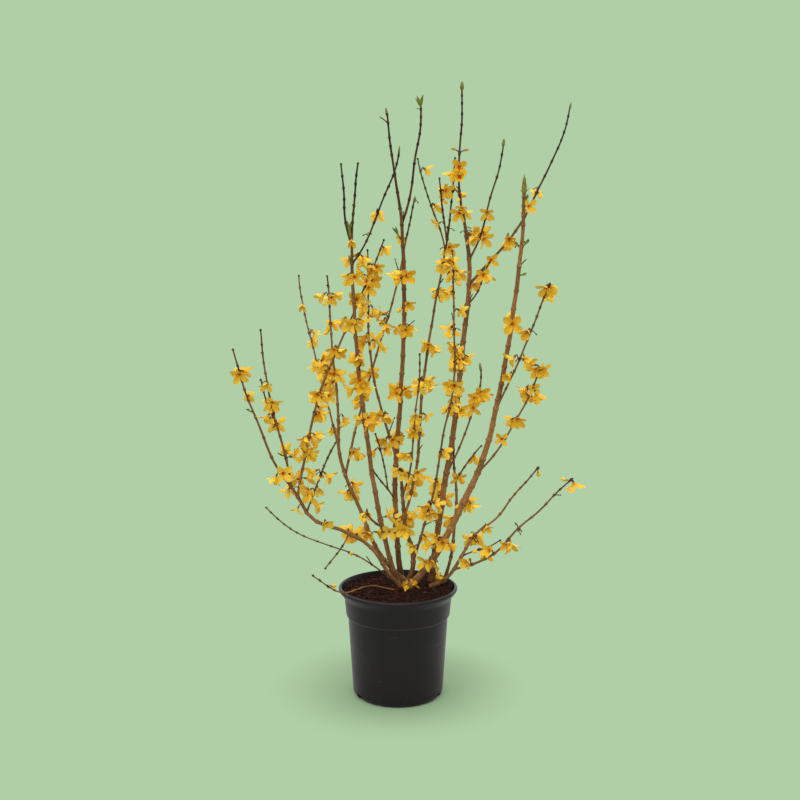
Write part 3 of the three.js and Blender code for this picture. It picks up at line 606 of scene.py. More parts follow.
@dataclass
class Heap:
    """Small shapes gathered into one mesh, in millimetres, each face dealt one of the finishes."""

    points: list[Array] = field(default_factory=list)
    faces: list[Array] = field(default_factory=list)
    tones: list[Array] = field(default_factory=list)
    marks: list[Array] = field(default_factory=list)
    count: int = 0

    def add(self, points: Array, faces: Array, tones: int | Array, marks: Array | None = None) -> None:
        """Adds a shape whose faces all have the same number of corners.

        Args:
            points: the shape's points.
            faces: rows of indices into the points.
            tones: the finish's index, one for all or one a face.
            marks: the UV place of each face's corners, as rows in the order of the faces.
        """
        faces = np.asarray(faces)
        self.points.append(points)
        self.faces.append(faces + self.count)
        self.tones.append(np.broadcast_to(tones, len(faces)))
        self.marks.append(np.zeros((faces.size, 2)) if marks is None else marks.reshape(-1, 2))
        self.count += len(points)

    def fill(self, faces: Array, tone: int) -> None:
        """Adds triangles between points that the heap has already."""
        self.faces.append(faces)
        self.tones.append(np.full(len(faces), tone))
        self.marks.append(np.zeros((faces.size, 2)))

    def piece(self, name: str, slot: Slot, materials: Sequence[bpy.types.Material],
              nodes: Sequence[str] = ()) -> bpy.types.Object:
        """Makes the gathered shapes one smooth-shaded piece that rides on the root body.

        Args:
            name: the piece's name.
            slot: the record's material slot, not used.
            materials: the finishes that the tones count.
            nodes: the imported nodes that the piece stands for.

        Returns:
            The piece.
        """
        mesh = bpy.data.meshes.new(name)
        faces = [face for block in self.faces for face in block.tolist()]
        mesh.from_pydata((np.vstack(self.points) * MM).tolist(), [], faces)
        mesh.uv_layers.new(name="marks").data.foreach_set("uv", np.vstack(self.marks).ravel())
        for material in materials:
            mesh.materials.append(material)
        mesh.polygons.foreach_set("material_index", np.concatenate(self.tones).astype(np.int32))
        mesh.shade_smooth()
        mesh.update()
        piece = bpy.data.objects.new(name, mesh)
        bpy.context.scene.collection.objects.link(piece)
        return dress(piece, nodes)


def dress(piece: bpy.types.Object, nodes: Sequence[str] = ()) -> bpy.types.Object:
    """Sets a finished piece on the root body, in place of the nodes that it stands for."""
    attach(piece, "root")
    if nodes:
        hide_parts(*nodes)
    triangles = sum(len(face.vertices) - 2 for face in piece.data.polygons)
    LOG.info("%s: %d triangles", piece.name, triangles)
    return piece


# the length of a tube that one unit of its V stands for
GRAIN_PITCH = 16.0
# spindles' outlines: shares of the length, and shares of the radius there
SCALE_PROFILE = ((0, 0.45), (0.3, 1), (0.62, 0.8), (1, 0.06))
CUP_PROFILE = ((0, 0.4), (0.4, 0.95), (1, 1))
EGG_PROFILE = ((0, 0.5), (0.16, 0.82), (0.46, 1), (0.76, 0.84), (0.93, 0.46), (1, 0.12))
PLUMP_PROFILE = ((0, 0.5), (0.25, 0.95), (0.55, 1), (0.85, 0.6), (1, 0.1))
SPEAR_PROFILE = ((0, 0.55), (0.2, 0.95), (0.42, 1), (0.7, 0.62), (1, 0.08))


def frames_along(path: Array) -> tuple[Array, Array]:
    """Gives two directions across a path at each of its points."""
    along = np.gradient(path, axis=0)
    along /= np.linalg.norm(along, axis=1)[:, None]
    reference = np.eye(3)[np.argmin(np.abs(along.mean(axis=0)))]
    across = np.cross(reference, along)
    across /= np.linalg.norm(across, axis=1)[:, None]
    return across, np.cross(along, across)


def add_tube(heap: Heap, path: Array, radii: Array, sides: int, tones: int | Array,
             frames: tuple[Array, Array] | None = None) -> None:
    """Adds a closed tube round a path.

    Args:
        heap: where it goes.
        path: the points of its middle line.
        radii: the radius at each point, or at each point and side.
        sides: how many sides it has.
        tones: the finish's index, one for all or one for each stretch between points.
        frames: the directions across and over at each point.
    """
    across, over = frames or frames_along(path)
    count = len(path)
    angles = np.arange(sides) * (2 * math.pi / sides)
    radii = np.broadcast_to(np.asarray(radii).reshape(count, -1), (count, sides))[..., None]
    ring = across[:, None] * np.cos(angles)[None, :, None] + over[:, None] * np.sin(angles)[None, :, None]
    points = np.vstack([(path[:, None] + ring * radii).reshape(-1, 3), path[0], path[-1]])
    i, j = (grid.ravel() for grid in np.meshgrid(np.arange(count - 1), np.arange(sides), indexing="ij"))
    after = (j + 1) % sides
    faces = np.stack([i * sides + j, i * sides + after, (i + 1) * sides + after, (i + 1) * sides + j], 1)
    run = np.concatenate([[0], np.cumsum(np.linalg.norm(np.diff(path, axis=0), axis=1))]) / GRAIN_PITCH
    u, next_u = j / sides, (j + 1) / sides
    marks = np.stack([u, run[i], next_u, run[i], next_u, run[i + 1], u, run[i + 1]], 1)
    if np.ndim(tones):
        tones = np.asarray(tones)
        first, last, tones = tones[0], tones[-1], tones[i]
    else:
        first = last = tones
    base, foot, top, k = heap.count, len(points) - 2, (count - 1) * sides, np.arange(sides)
    heap.add(points, faces, tones, marks)
    heap.fill(base + np.stack([np.full(sides, foot), (k + 1) % sides, k], 1), first)
    heap.fill(base + np.stack([np.full(sides, foot + 1), top + k, top + (k + 1) % sides], 1), last)


def add_spindle(heap: Heap, start: Array, way: Array, length: float, radius: float, tone: int, sides: int = 5,
                profile: Sequence[tuple[float, float]] = SCALE_PROFILE) -> None:
    """Adds a pointed spindle, such as a bud or a scale.

    Args:
        heap: where it goes.
        start: its foot.
        way: the direction that it points in.
        length: from foot to tip.
        radius: its greatest radius.
        tone: the finish's index.
        sides: how many sides it has.
        profile: shares of the length, and shares of the radius there.
    """
    shares, widths = np.array(profile).T
    path = start + np.outer(shares * length, way)
    across = unit(np.cross(way, UP if abs(way[2]) < 0.9 else np.array([1.0, 0.0, 0.0])))
    over = np.cross(way, across)
    frames = (np.repeat(across[None], len(path), 0), np.repeat(over[None], len(path), 0))
    add_tube(heap, path, widths * radius, sides, tone, frames)


def curve(points: Sequence[Array], steps: int) -> Array:
    """Gives points along a cubic curve through its four control points."""
    t = np.linspace(0, 1, steps)[:, None]
    a, b, c, d = points
    return (1 - t) ** 3 * a + 3 * (1 - t) ** 2 * t * b + 3 * (1 - t) * t**2 * c + t**3 * d


def add_stalk(heap: Heap, points: Sequence[Array], ends: tuple[float, float], tone: int, steps: int = 6,
              sides: int = 4) -> None:
    """Adds a thin stalk along a cubic curve.

    Args:
        heap: where it goes.
        points: the curve's four control points.
        ends: its radius at the foot and at the tip.
        tone: the finish's index.
        steps: how many rings it has.
        sides: how many sides it has.
    """
    add_tube(heap, curve(points, steps), np.linspace(*ends, steps), sides, tone)


# ---------------------------------------------------------------- finishes


def linear(red: int, green: int, blue: int) -> tuple[float, float, float, float]:
    """Turns a colour as seen on a screen, from 0 to 255, into a linear colour."""
    shares = [value / 255 for value in (red, green, blue)]
    return (*[s / 12.92 if s < 0.04045 else ((s + 0.055) / 1.055) ** 2.4 for s in shares], 1.0)


class Nodes:
    """The shader nodes of one material or node group, placed and joined."""

    def __init__(self, tree: bpy.types.NodeTree) -> None:
        """Takes the tree that the nodes go in."""
        self.tree = tree

    def join(self, value: object, node: bpy.types.Node, name: str | int) -> None:
        """Joins a socket to a node's input, or sets the input to a value."""
        if isinstance(value, bpy.types.NodeSocket):
            self.tree.links.new(value, node.inputs[name])
        else:
            node.inputs[name].default_value = value

    def add(self, kind: str, inputs: dict[str | int, object] | None = None, **settings: object
            ) -> bpy.types.Node:
        """Adds a node.

        Args:
            kind: the node's type, without its ShaderNode prefix.
            inputs: a value, or a socket to join, for each named input.
            settings: the node's own properties.

        Returns:
            The node.
        """
        node = self.tree.nodes.new(f"ShaderNode{kind}")
        for name, value in settings.items():
            setattr(node, name, value)
        for name, value in (inputs or {}).items():
            self.join(value, node, name)
        return node

    def mix(self, share: object, first: object, second: object) -> bpy.types.NodeSocket:
        """Mixes two colours by a share."""
        return self.add("Mix", {0: share, 6: first, 7: second}, data_type="RGBA").outputs[2]

    def maths(self, operation: str, first: object, second: object = 0.0) -> bpy.types.NodeSocket:
        """Works one value out of two."""
        return self.add("Math", {0: first, 1: second}, operation=operation).outputs[0]

    def remap(self, value: object, low: float, high: float, to_low: float = 0.0, to_high: float = 1.0,
              ease: str = "LINEAR") -> bpy.types.NodeSocket:
        """Maps one range of values to another.

        Args:
            value: the value to read.
            low: the value that gives `to_low`.
            high: the value that gives `to_high`.
            to_low: the first end of the new range.
            to_high: its last end.
            ease: the kind of step between them.

        Returns:
            The new value.
        """
        ends = {"From Min": low, "From Max": high, "To Min": to_low, "To Max": to_high}
        return self.add("MapRange", {"Value": value, **ends}, interpolation_type=ease).outputs[0]

    def ramp(self, value: object, stops: Sequence[tuple[float, float]]) -> bpy.types.NodeSocket:
        """Reads a value through a grey ramp of places and levels."""
        node = self.add("ValToRGB", {"Fac": value})
        elements = node.color_ramp.elements
        while len(elements) < len(stops):
            elements.new(0.5)
        for element, (place, level) in zip(elements, stops):
            element.position = place
            element.color = (level, level, level, 1)
        return node.outputs["Color"]


def new_group(name: str, inputs: dict[str, tuple[str, object]], outputs: Sequence[str]
              ) -> tuple[Nodes, bpy.types.bpy_prop_collection, bpy.types.Node]:
    """Starts a shader node group with named sockets.

    Args:
        name: the group's name.
        inputs: a socket kind and a default value for each input.
        outputs: the names of the outputs, all of them values.

    Returns:
        The group's nodes, the sockets that it is given, and its output node.
    """
    tree = bpy.data.node_groups.new(name, "ShaderNodeTree")
    for label, (kind, value) in inputs.items():
        socket = tree.interface.new_socket(label, in_out="INPUT", socket_type=f"NodeSocket{kind}")
        if value is not None:
            socket.default_value = value
    for label in outputs:
        tree.interface.new_socket(label, in_out="OUTPUT", socket_type="NodeSocketFloat")
    return Nodes(tree), tree.nodes.new("NodeGroupInput").outputs, tree.nodes.new("NodeGroupOutput")


class Effects:
    """The shader node groups that several finishes share, each built once."""

    @staticmethod
    @cache
    def mottle() -> bpy.types.NodeTree:
        """Patches of two sizes: a mask from 0 to 1."""
        inputs = {"Vector": ("Vector", None), "Scale": ("Float", 60.0), "Fine": ("Float", 6.0)}
        nodes, given, made = new_group("mottle", inputs, ["Mask"])
        vector, scale = given["Vector"], given["Scale"]
        large = nodes.add("TexNoise", {"Vector": vector, "Scale": scale, "Detail": 3.0})
        finer = nodes.maths("MULTIPLY", scale, given["Fine"])
        small = nodes.add("TexNoise", {"Vector": vector, "Scale": finer})
        both = nodes.maths("ADD", large.outputs["Fac"], small.outputs["Fac"])
        nodes.join(nodes.remap(both, 0.72, 1.28), made, "Mask")
        return nodes.tree

    @staticmethod
    @cache
    def grain() -> bpy.types.NodeTree:
        """Bark read on its UV: lengthwise streaks, cork dots and the height of both."""
        nodes, given, made = new_group(
            "grain", {"Stretch": ("Float", 0.16), "Dots": ("Float", 5.0)}, ["Streak", "Dot", "Height"])
        place = nodes.add("UVMap", uv_map="marks").outputs["UV"]
        parts = nodes.add("SeparateXYZ", {0: place}).outputs
        slow = nodes.maths("MULTIPLY", parts["Y"], given["Stretch"])
        drawn = nodes.add("CombineXYZ", {"X": parts["X"], "Y": slow})
        lines = nodes.add("TexNoise", {"Vector": drawn.outputs[0], "Scale": 14.0, "Detail": 4.0})
        streaks = nodes.remap(lines.outputs["Fac"], 0.35, 0.68)
        cells = nodes.add("TexVoronoi", {"Vector": place, "Scale": given["Dots"]})
        dots = nodes.remap(cells.outputs["Distance"], 0.24, 0.12)
        height = nodes.maths("ADD", nodes.maths("MULTIPLY", dots, 0.6), streaks)
        for name, value in (("Streak", streaks), ("Dot", dots), ("Height", height)):
            nodes.join(value, made, name)
        return nodes.tree


@dataclass(frozen=True)
class Finish:
    """What all finishes share: a name, a roughness, a bump's depth in metres, and a share of gloss."""

    name: str
    roughness: float
    depth: float
    gloss: ClassVar[float] = 0.15

    def start(self) -> tuple[bpy.types.Material, Nodes, bpy.types.Node]:
        """Starts the material, with its shader ready to be joined."""
        material = bpy.data.materials.new(self.name)
        material.use_nodes = True
        nodes = Nodes(material.node_tree)
        shader = material.node_tree.nodes["Principled BSDF"]
        shader.inputs["Roughness"].default_value = self.roughness
        shader.inputs["Specular IOR Level"].default_value = self.gloss
        return material, nodes, shader

    def bump(self, nodes: Nodes, shader: bpy.types.Node, height: bpy.types.NodeSocket) -> None:
        """Joins a height to the shader's normal."""
        node = nodes.add("Bump", {"Height": height, "Distance": self.depth, "Strength": 1.0})
        nodes.join(node.outputs[0], shader, "Normal")

    def mask(self, nodes: Nodes, scale: float, fine: float = 6.0) -> bpy.types.NodeSocket:
        """Places the mottle group on the object's own coordinates."""
        place = nodes.add("TexCoord").outputs["Object"]
        sizes = {"Vector": place, "Scale": scale, "Fine": fine}
        return nodes.add("Group", sizes, node_tree=Effects.mottle()).outputs["Mask"]


@dataclass(frozen=True)
class Bark(Finish):
    """Bark with lengthwise streaks and pale cork dots."""

    base: tuple[int, int, int]
    streak: tuple[int, int, int]
    dot: tuple[int, int, int]

    def material(self) -> bpy.types.Material:
        """Builds the material."""
        material, nodes, shader = self.start()
        grain = nodes.add("Group", node_tree=Effects.grain()).outputs
        shade = (*[0.78 * channel for channel in linear(*self.base)[:3]], 1.0)
        ground = nodes.mix(self.mask(nodes, 45.0), linear(*self.base), shade)
        streaked = nodes.mix(grain["Streak"], linear(*self.streak), ground)
        nodes.join(nodes.mix(grain["Dot"], streaked, linear(*self.dot)), shader, "Base Color")
        self.bump(nodes, shader, grain["Height"])
        return material


@dataclass(frozen=True)
class Plain(Finish):
    """A soft living surface of two close colours in fine patches, such as a petal, scale or leaf."""

    base: tuple[int, int, int]
    other: tuple[int, int, int]
    scale: float

    def material(self) -> bpy.types.Material:
        """Builds the material."""
        material, nodes, shader = self.start()
        patches = self.mask(nodes, self.scale, 4.0)
        nodes.join(nodes.mix(patches, linear(*self.base), linear(*self.other)), shader, "Base Color")
        if self.depth:
            self.bump(nodes, shader, patches)
        return material


@dataclass(frozen=True)
class Petal(Plain):
    """A petal: its foot has the throat's colour, and faint veins run along it from there."""

    vein: tuple[int, int, int]
    soft: ClassVar[float] = 0.5
    soft_reach: ClassVar[tuple[float, float, float]] = (1.0, 0.75, 0.25)
    soft_depth: ClassVar[float] = 0.002

    def material(self) -> bpy.types.Material:
        """Builds the material."""
        material, nodes, shader = self.start()
        place = nodes.add("UVMap", uv_map="marks").outputs["UV"]
        wave = {"Vector": place, "Scale": 2.2, "Distortion": 1.2}
        veins = nodes.add("TexWave", wave, bands_direction="X").outputs["Fac"]
        along = nodes.add("SeparateXYZ", {0: place}).outputs["Y"]
        foot = nodes.remap(along, 0.3, 0.0, to_high=0.7)
        share = nodes.maths("MAXIMUM", foot, nodes.ramp(veins, ((0.0, 0.1), (0.3, 0.0))))
        ground = nodes.mix(self.mask(nodes, self.scale, 4.0), linear(*self.base), linear(*self.other))
        nodes.join(nodes.mix(share, ground, linear(*self.vein)), shader, "Base Color")
        self.bump(nodes, shader, veins)
        for name, value in (("Weight", self.soft), ("Radius", self.soft_reach), ("Scale", self.soft_depth)):
            shader.inputs[f"Subsurface {name}"].default_value = value
        return material


@dataclass(frozen=True)
class Plastic(Finish):
    """Satin black plastic with a moulded skin, dusty low down, with a few scuffs and a painted highlight line
    round the collar's step.

    Dust lies up to `dusty`, and the painted highlight line is at the height `edge`, both in metres.
    """

    gloss: ClassVar[float] = 0.28
    base: tuple[int, int, int] = (21, 20, 19)
    # one colour for the specks low down, the scuffs and the painted highlight line at `edge`
    dust_and_highlight: tuple[int, int, int] = (98, 94, 88)
    dusty: float = 0.03
    # the height of the painted highlight line round the collar's step
    edge: float = 0.1004

    def material(self) -> bpy.types.Material:
        """Builds the material."""
        material, nodes, shader = self.start()
        place = nodes.add("TexCoord").outputs["Object"]
        height = nodes.add("SeparateXYZ", {0: place}).outputs["Z"]
        low = nodes.remap(height, self.dusty, 0.0, to_high=0.35)
        specks = nodes.ramp(self.mask(nodes, 140.0, 9.0), ((0.55, 0.0), (1.0, 0.3)))
        stretch = {"Vector": place, "Scale": (14.0, 14.0, 160.0), "Rotation": (0.0, 0.12, 0.3)}
        flat = nodes.add("Mapping", stretch).outputs[0]
        scratch = nodes.add("TexNoise", {"Vector": flat, "Scale": 2.2, "Detail": 3.0})
        scuff = nodes.ramp(scratch.outputs["Fac"], ((0.69, 0.0), (0.74, 0.28)))
        # painted highlight: a thin lighter ring round the collar's step at the height `edge`, joined with the
        # real scuffs
        apart = nodes.maths("ABSOLUTE", nodes.maths("SUBTRACT", height, self.edge))
        scuffs_and_edge_highlight = nodes.maths("MAXIMUM", nodes.remap(apart, 0.0013, 0.0004, to_high=0.3), scuff)
        dust_scuffs_and_highlight = nodes.maths("MAXIMUM", nodes.maths("MULTIPLY", specks, low), scuffs_and_edge_highlight)
        nodes.join(nodes.mix(dust_scuffs_and_highlight, linear(*self.base), linear(*self.dust_and_highlight)), shader, "Base Color")
        patches = self.mask(nodes, 22.0, 12.0)
        rough = nodes.remap(patches, 0.0, 1.0, self.roughness - 0.05, self.roughness + 0.08)
        nodes.join(rough, shader, "Roughness")
        skin = nodes.add("TexNoise", {"Vector": place, "Scale": 1500.0, "Detail": 2.0})
        self.bump(nodes, shader, skin.outputs["Fac"])
        return material


PLAINS = {
    name: Plain(name, roughness, depth, base, other, scale)
    for name, roughness, depth, scale, base, other in (
        ("bud_scales", 0.55, 0.0, 300.0, (74, 44, 32), (52, 30, 24)),
        ("green_scales", 0.5, 0.0, 300.0, (112, 110, 44), (92, 78, 34)),
        ("throat_orange", 0.6, 0.0, 400.0, (222, 112, 8), (196, 84, 6)),
        ("stalk_brown", 0.65, 0.0, 240.0, (108, 68, 34), (80, 48, 26)),
        ("cup_olive", 0.6, 0.0, 300.0, (124, 104, 34), (98, 72, 28)),
        ("leaf_green", 0.55, 0.0, 260.0, (128, 142, 52), (98, 110, 36)),
        ("leaf_olive", 0.55, 0.0, 260.0, (148, 142, 66), (110, 104, 46)),
        ("tip_brown", 0.65, 0.0, 260.0, (66, 40, 26), (46, 28, 20)),
        ("bud_gold", 0.55, 0.0, 260.0, (206, 168, 54), (166, 132, 44)),
        ("potting_mix", 0.95, 0.0012, 210.0, (40, 17, 9), (17, 8, 5)),
        ("crumb_dark", 0.95, 0.0004, 500.0, (26, 13, 8), (16, 8, 6)),
        ("crumb_red", 0.9, 0.0004, 500.0, (74, 32, 19), (44, 18, 11)),
        ("fibre_red", 0.85, 0.0, 300.0, (104, 47, 28), (64, 26, 16)),
        ("fibre_brown", 0.85, 0.0, 300.0, (54, 25, 15), (31, 14, 9)),
        ("fibre_straw", 0.8, 0.0, 300.0, (112, 72, 43), (84, 49, 28)))}


def plain(*names: str) -> list[bpy.types.Material]:
    """Builds plain finishes by their names."""
    return [PLAINS[name].material() for name in names]


# ---------------------------------------------------------------- wood

BARKS = {
    Tone.PALE: Bark("bark_pale", 0.72, 0.00022, (178, 130, 73), (134, 91, 51), (198, 158, 106)),
    Tone.TAN: Bark("bark_tan", 0.74, 0.00022, (158, 114, 63), (112, 76, 43), (183, 144, 92)),
    Tone.BROWN: Bark("bark_brown", 0.7, 0.00018, (132, 94, 51), (90, 60, 34), (160, 120, 73)),
    Tone.DARK: Bark("bark_dark", 0.66, 0.00014, (98, 66, 39), (64, 42, 26), (130, 94, 58)),
    Tone.PURPLE: Bark("bark_purple", 0.64, 0.0001, (70, 44, 30), (46, 29, 22), (100, 70, 46)),
}


@dataclass
class Knot:
    """One knot of a limb, where scales, buds and twigs spring: its place, its turn, and if it blooms."""

    distance: float
    turn: float
    bloom: bool


@dataclass
class Wood:
    """The limbs as bark-covered tubes, swollen at their knots, with the scales that sit there.

    Stems run down into the soil by `sunk`. Wood of a radius over `stout` has a stem's sides. Limbs stray off
    their course by `sway`. A knot that blooms has a `bunch` of scales on each side. Knots keep `knot_room`
    from what grows, and stand closer over the last `tip_reach` of a limb. Bark darkens on wood thinner than
    `thin_below`, in full where it is thinner by `thin_over`, and over the lowest `low_dark_reach` of a stem.
    """

    shrub: Shrub
    stem_sides: int = 14
    twig_sides: int = 8
    stem_step: float = 2.2
    twig_step: float = 6.0
    sunk: float = 7.0
    stout: float = 1.7
    sway: float = 0.35
    bunch: int = 4
    bark: float = 0.1
    first_tone: float = 0.8
    thin_below: float = 2.8
    thin_over: float = 1.6
    low_dark_reach: float = 30.0
    knot_room: float = 7.0
    spacing: tuple[float, float] = (17.0, 27.0)
    tip_spacing: tuple[float, float] = (9.0, 14.0)
    tip_reach: float = 70.0
    ring_shifts: tuple[float, ...] = (-2.6, -1.2, 0.0, 0.9, 2.0)
    stems: Heap = field(default_factory=Heap)
    twigs: Heap = field(default_factory=Heap)
    scales: Heap = field(default_factory=Heap)
    knots: dict[str, list[Knot]] = field(default_factory=dict)
    bloom_knot: float = 2.1
    bare_knot: float = 1.6
    green_reach: float = 60.0

    def build(self, nodes: Sequence[str]) -> None:
        """Grows every limb, and makes the three pieces of wood.

        Args:
            nodes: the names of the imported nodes, which the pieces share out between them.
        """
        for limb in self.shrub.limbs:
            self.knots[limb.name] = self.find_knots(limb)
            if limb.stem:
                self.add_limb(self.stems, limb, -self.sunk, limb.stem, self.stem_step, self.stem_sides)
            sides = self.stem_sides if limb.radius(limb.stem) > self.stout else self.twig_sides
            start, end = limb.stem or (0.0 if limb.on else -self.sunk), limb.length - 0.6 * limb.bud[0]
            self.add_limb(self.twigs, limb, start, end, self.twig_step, sides)
            for knot in self.knots[limb.name]:
                self.add_scales(limb, knot)
        for spur in self.shrub.of_kind(Spur):
            self.add_spur(spur)
        barks = [BARKS[tone].material() for tone in Tone]
        woody = [name for name in nodes if name.startswith(("stem_", "bough_"))]
        sprays = [name for name in nodes if name.startswith("spray_")]
        self.stems.piece("stems", Slot.BARK, barks, woody)
        self.twigs.piece("twigs", Slot.BARK, barks, sprays)
        self.scales.piece("bud_scales", Slot.BARK, plain("bud_scales", "green_scales"))

    def find_knots(self, limb: Limb) -> list[Knot]:
        """Sets the knots along a limb: where things grow, and between them at a seeded spacing."""
        held = [(distance, True) for distance in (*[place for place, _ in limb.blooms], *limb.buds)]
        held += [(twig.at * limb.length, False) for twig in self.shrub.limbs if twig.on == limb.name]
        held += [(spur.distance, False) for spur in self.shrub.of_kind(Spur) if spur.limb is limb]
        held += [(joint, False) for joint in (limb.bend, limb.stem) if joint]
        places = sorted(held)
        fill, last = [], 8.0 if limb.on else 16.0
        for stop in [distance for distance, _ in places] + [limb.length - 1.5]:
            while True:
                near_tip = limb.length - last < self.tip_reach
                space = limb.fine.between(*(self.tip_spacing if near_tip else self.spacing))
                if last + space > stop - self.knot_room:
                    break
                last += space
                fill.append((last, False))
            last = stop
        turn = 360 * limb.fine.draw()
        knots = []
        for distance, bloom in sorted(places + fill):
            turn += 90 + 10 * (limb.fine.draw() - 0.5)
            knots.append(Knot(distance, turn, bloom))
        return knots

    def tone_of(self, limb: Limb, distance: float, jitter: float) -> int:
        """Picks the bark's tone: tan on stout wood, browner where thin or low on a stem, darkest towards the
        tip.
        """
        thin = float(np.clip((self.thin_below - 2 * limb.radius(distance)) / self.thin_over, 0, 1))
        depth = 2.6 if limb.dark > 80 else 1.3
        near = math.exp(-(((limb.length - distance) / limb.dark) ** 2))
        # darker over the lowest part of a stem, just above the soil
        low_dark = 1.5 * math.exp(-((distance / self.low_dark_reach) ** 2)) if limb.foot and limb.stem else 0.0
        tone = round(self.first_tone + 0.5 * thin + depth * near + low_dark - limb.age + jitter)
        return int(np.clip(tone, Tone.PALE.value, Tone.PURPLE.value))

    def add_limb(self, heap: Heap, limb: Limb, start: float, end: float, step: float, sides: int) -> None:
        """Adds one limb's tube between two distances.

        Args:
            heap: the piece that it goes in.
            limb: the limb.
            start: where the tube starts; below 0 it runs down into the soil.
            end: where it ends.
            step: the greatest spacing of its rings.
            sides: how many sides it has.
        """
        places = [knot.distance for knot in self.knots[limb.name]]
        rings = set(np.linspace(start, end, max(3, math.ceil((end - start) / step))).round(3))
        rings |= {round(place + shift, 3) for place in places for shift in self.ring_shifts}
        distances = np.array(sorted(d for d in rings if start <= d <= end))
        distances = distances[np.concatenate([[True], np.diff(distances) > 0.25])]
        along, across, over = limb.frame(distances)
        path = limb.point(distances) + along * np.minimum(distances, 0)[:, None]
        seed = 7.3 * (len(limb.name) + limb.length)
        swing = np.sin(distances / 21 + seed) + 0.6 * np.sin(distances / 9.5 + 2 * seed)
        path = path + across * (self.sway * swing * np.clip(distances / 60, 0, 1))[:, None]
        jitters = [limb.fine.between(-0.5, 0.5) for _ in range(len(places) + 1)]
        middles = (distances[1:] + distances[:-1]) / 2
        tones = [self.tone_of(limb, d, jitters[int(np.searchsorted(places, d))]) for d in middles]
        surface = self.surface_of(limb, distances, sides, seed)
        add_tube(heap, path, surface, sides, np.array(tones), (across, over))

    def surface_of(self, limb: Limb, distances: Array, sides: int, seed: float) -> Array:
        """Gives a limb's radii: swollen at its knots and where it springs, and ridged.

        Args:
            limb: the limb.
            distances: how far along it each ring lies.
            sides: how many sides a ring has.
            seed: what sets its ridges apart from another limb's.

        Returns:
            The radii, a row for each ring.
        """
        radii = np.asarray(limb.radius(distances), float)
        radii = radii + self.bark * (1 + np.clip(2.2 - 1.2 * radii, 0, 1.6))
        swell = np.zeros_like(radii)
        for knot in self.knots[limb.name]:
            reach = (distances - knot.distance) / (self.bloom_knot if knot.bloom else self.bare_knot)
            swell += (0.5 + 0.12 * radii) * np.exp(-(reach**2))
        if limb.on:
            swell += 0.5 * np.exp(-np.maximum(distances - self.collar(limb), 0) / 3)
        turns = np.arange(sides) * (2 * math.pi / sides)
        ridges = (0.035 * np.sin(3 * turns[None] + seed + distances[:, None] / 17)
                  + 0.03 * np.sin(5 * turns[None] - seed + distances[:, None] / 7))
        pits = 0.03 * np.sin(9.1 * distances[:, None] + 4 * turns[None]) * (radii[:, None] > 1.2)
        return (radii + swell)[:, None] * (1 + ridges + pits)

    def collar(self, limb: Limb) -> float:
        """Gives how far along a twig its parent's surface lies."""
        parent = self.shrub.by_name[limb.on]
        return float(parent.radius(limb.at * parent.length)) * 1.4

    def add_scales(self, limb: Limb, knot: Knot) -> None:
        """Adds a knot's pointed scales: an opposite pair, or two tight bunches where blossoms spring."""
        run = limb.fine
        along = limb.frame(knot.distance)[0]
        centre, radius = limb.point(knot.distance), float(limb.radius(knot.distance))
        if not knot.bloom and radius > 2.4 and run.draw() < 0.5:
            return
        green = limb.tip is not Tip.BLUNT and limb.length - knot.distance < self.green_reach
        for side in (0, 180):
            for i in range(self.bunch if knot.bloom else 1):
                fan = (i - 1.5) * 34 + run.between(-12, 12) if knot.bloom else run.between(-8, 8)
                out = limb.around(knot.distance, knot.turn + side + fan)
                way = unit(out + along * run.between(0.9, 1.8))
                foot = centre + out * radius * 0.7 + along * (run.between(-1.2, 1.2) if knot.bloom else 0)
                length = run.between(1.7, 2.4) * (1.3 if knot.bloom else 1.0)
                add_spindle(self.scales, foot, way, length, run.between(0.6, 0.85),
                            int(green and run.draw() < 0.4))

    def add_spur(self, spur: Spur) -> None:
        """Adds a short bare twig with a few knots, ending in a scale."""
        run = spur.limb.fine
        line = spur.tip - spur.root
        length = float(np.linalg.norm(line))
        way = line / length
        count = max(4, round(length / 1.6))
        shares = np.linspace(0, 1, count)
        sag = np.outer(np.sin(shares * math.pi) * run.between(-0.06, 0.06) * length, UP)
        radii = np.interp(shares, [0, 1], [0.8, 0.5]) * (1 + 0.35 * (np.sin(shares * length * 0.9) > 0.75))
        add_tube(self.twigs, spur.root + np.outer(shares, line) + sag, radii, 6, Tone.DARK.value)
        add_spindle(self.scales, spur.tip - way, way, 3.4, 0.8, 0)


# ---------------------------------------------------------------- blossoms


PETALS = tuple(
    Petal(f"petal_{name}", 0.62, 0.00002, base, other, 120.0, vein)
    for name, base, other, vein in (
        ("throat", (240, 182, 28), (230, 164, 20), (214, 132, 14)),
        ("gold", (244, 207, 64), (238, 197, 54), (231, 170, 32)),
        ("deep", (243, 200, 54), (236, 188, 44), (225, 160, 28)),
        ("lemon", (245, 210, 72), (240, 202, 62), (233, 178, 36))))


BELL_SIDES = 8


def bell_ring(radius: float, forward: float | Array) -> Array:
    """Gives the points of one ring of a bell, in a blossom's own frame."""
    turns = np.arange(BELL_SIDES) * 2 * math.pi / BELL_SIDES
    return np.stack([np.cos(turns) * radius, np.sin(turns) * radius, np.broadcast_to(forward, BELL_SIDES)], 1)


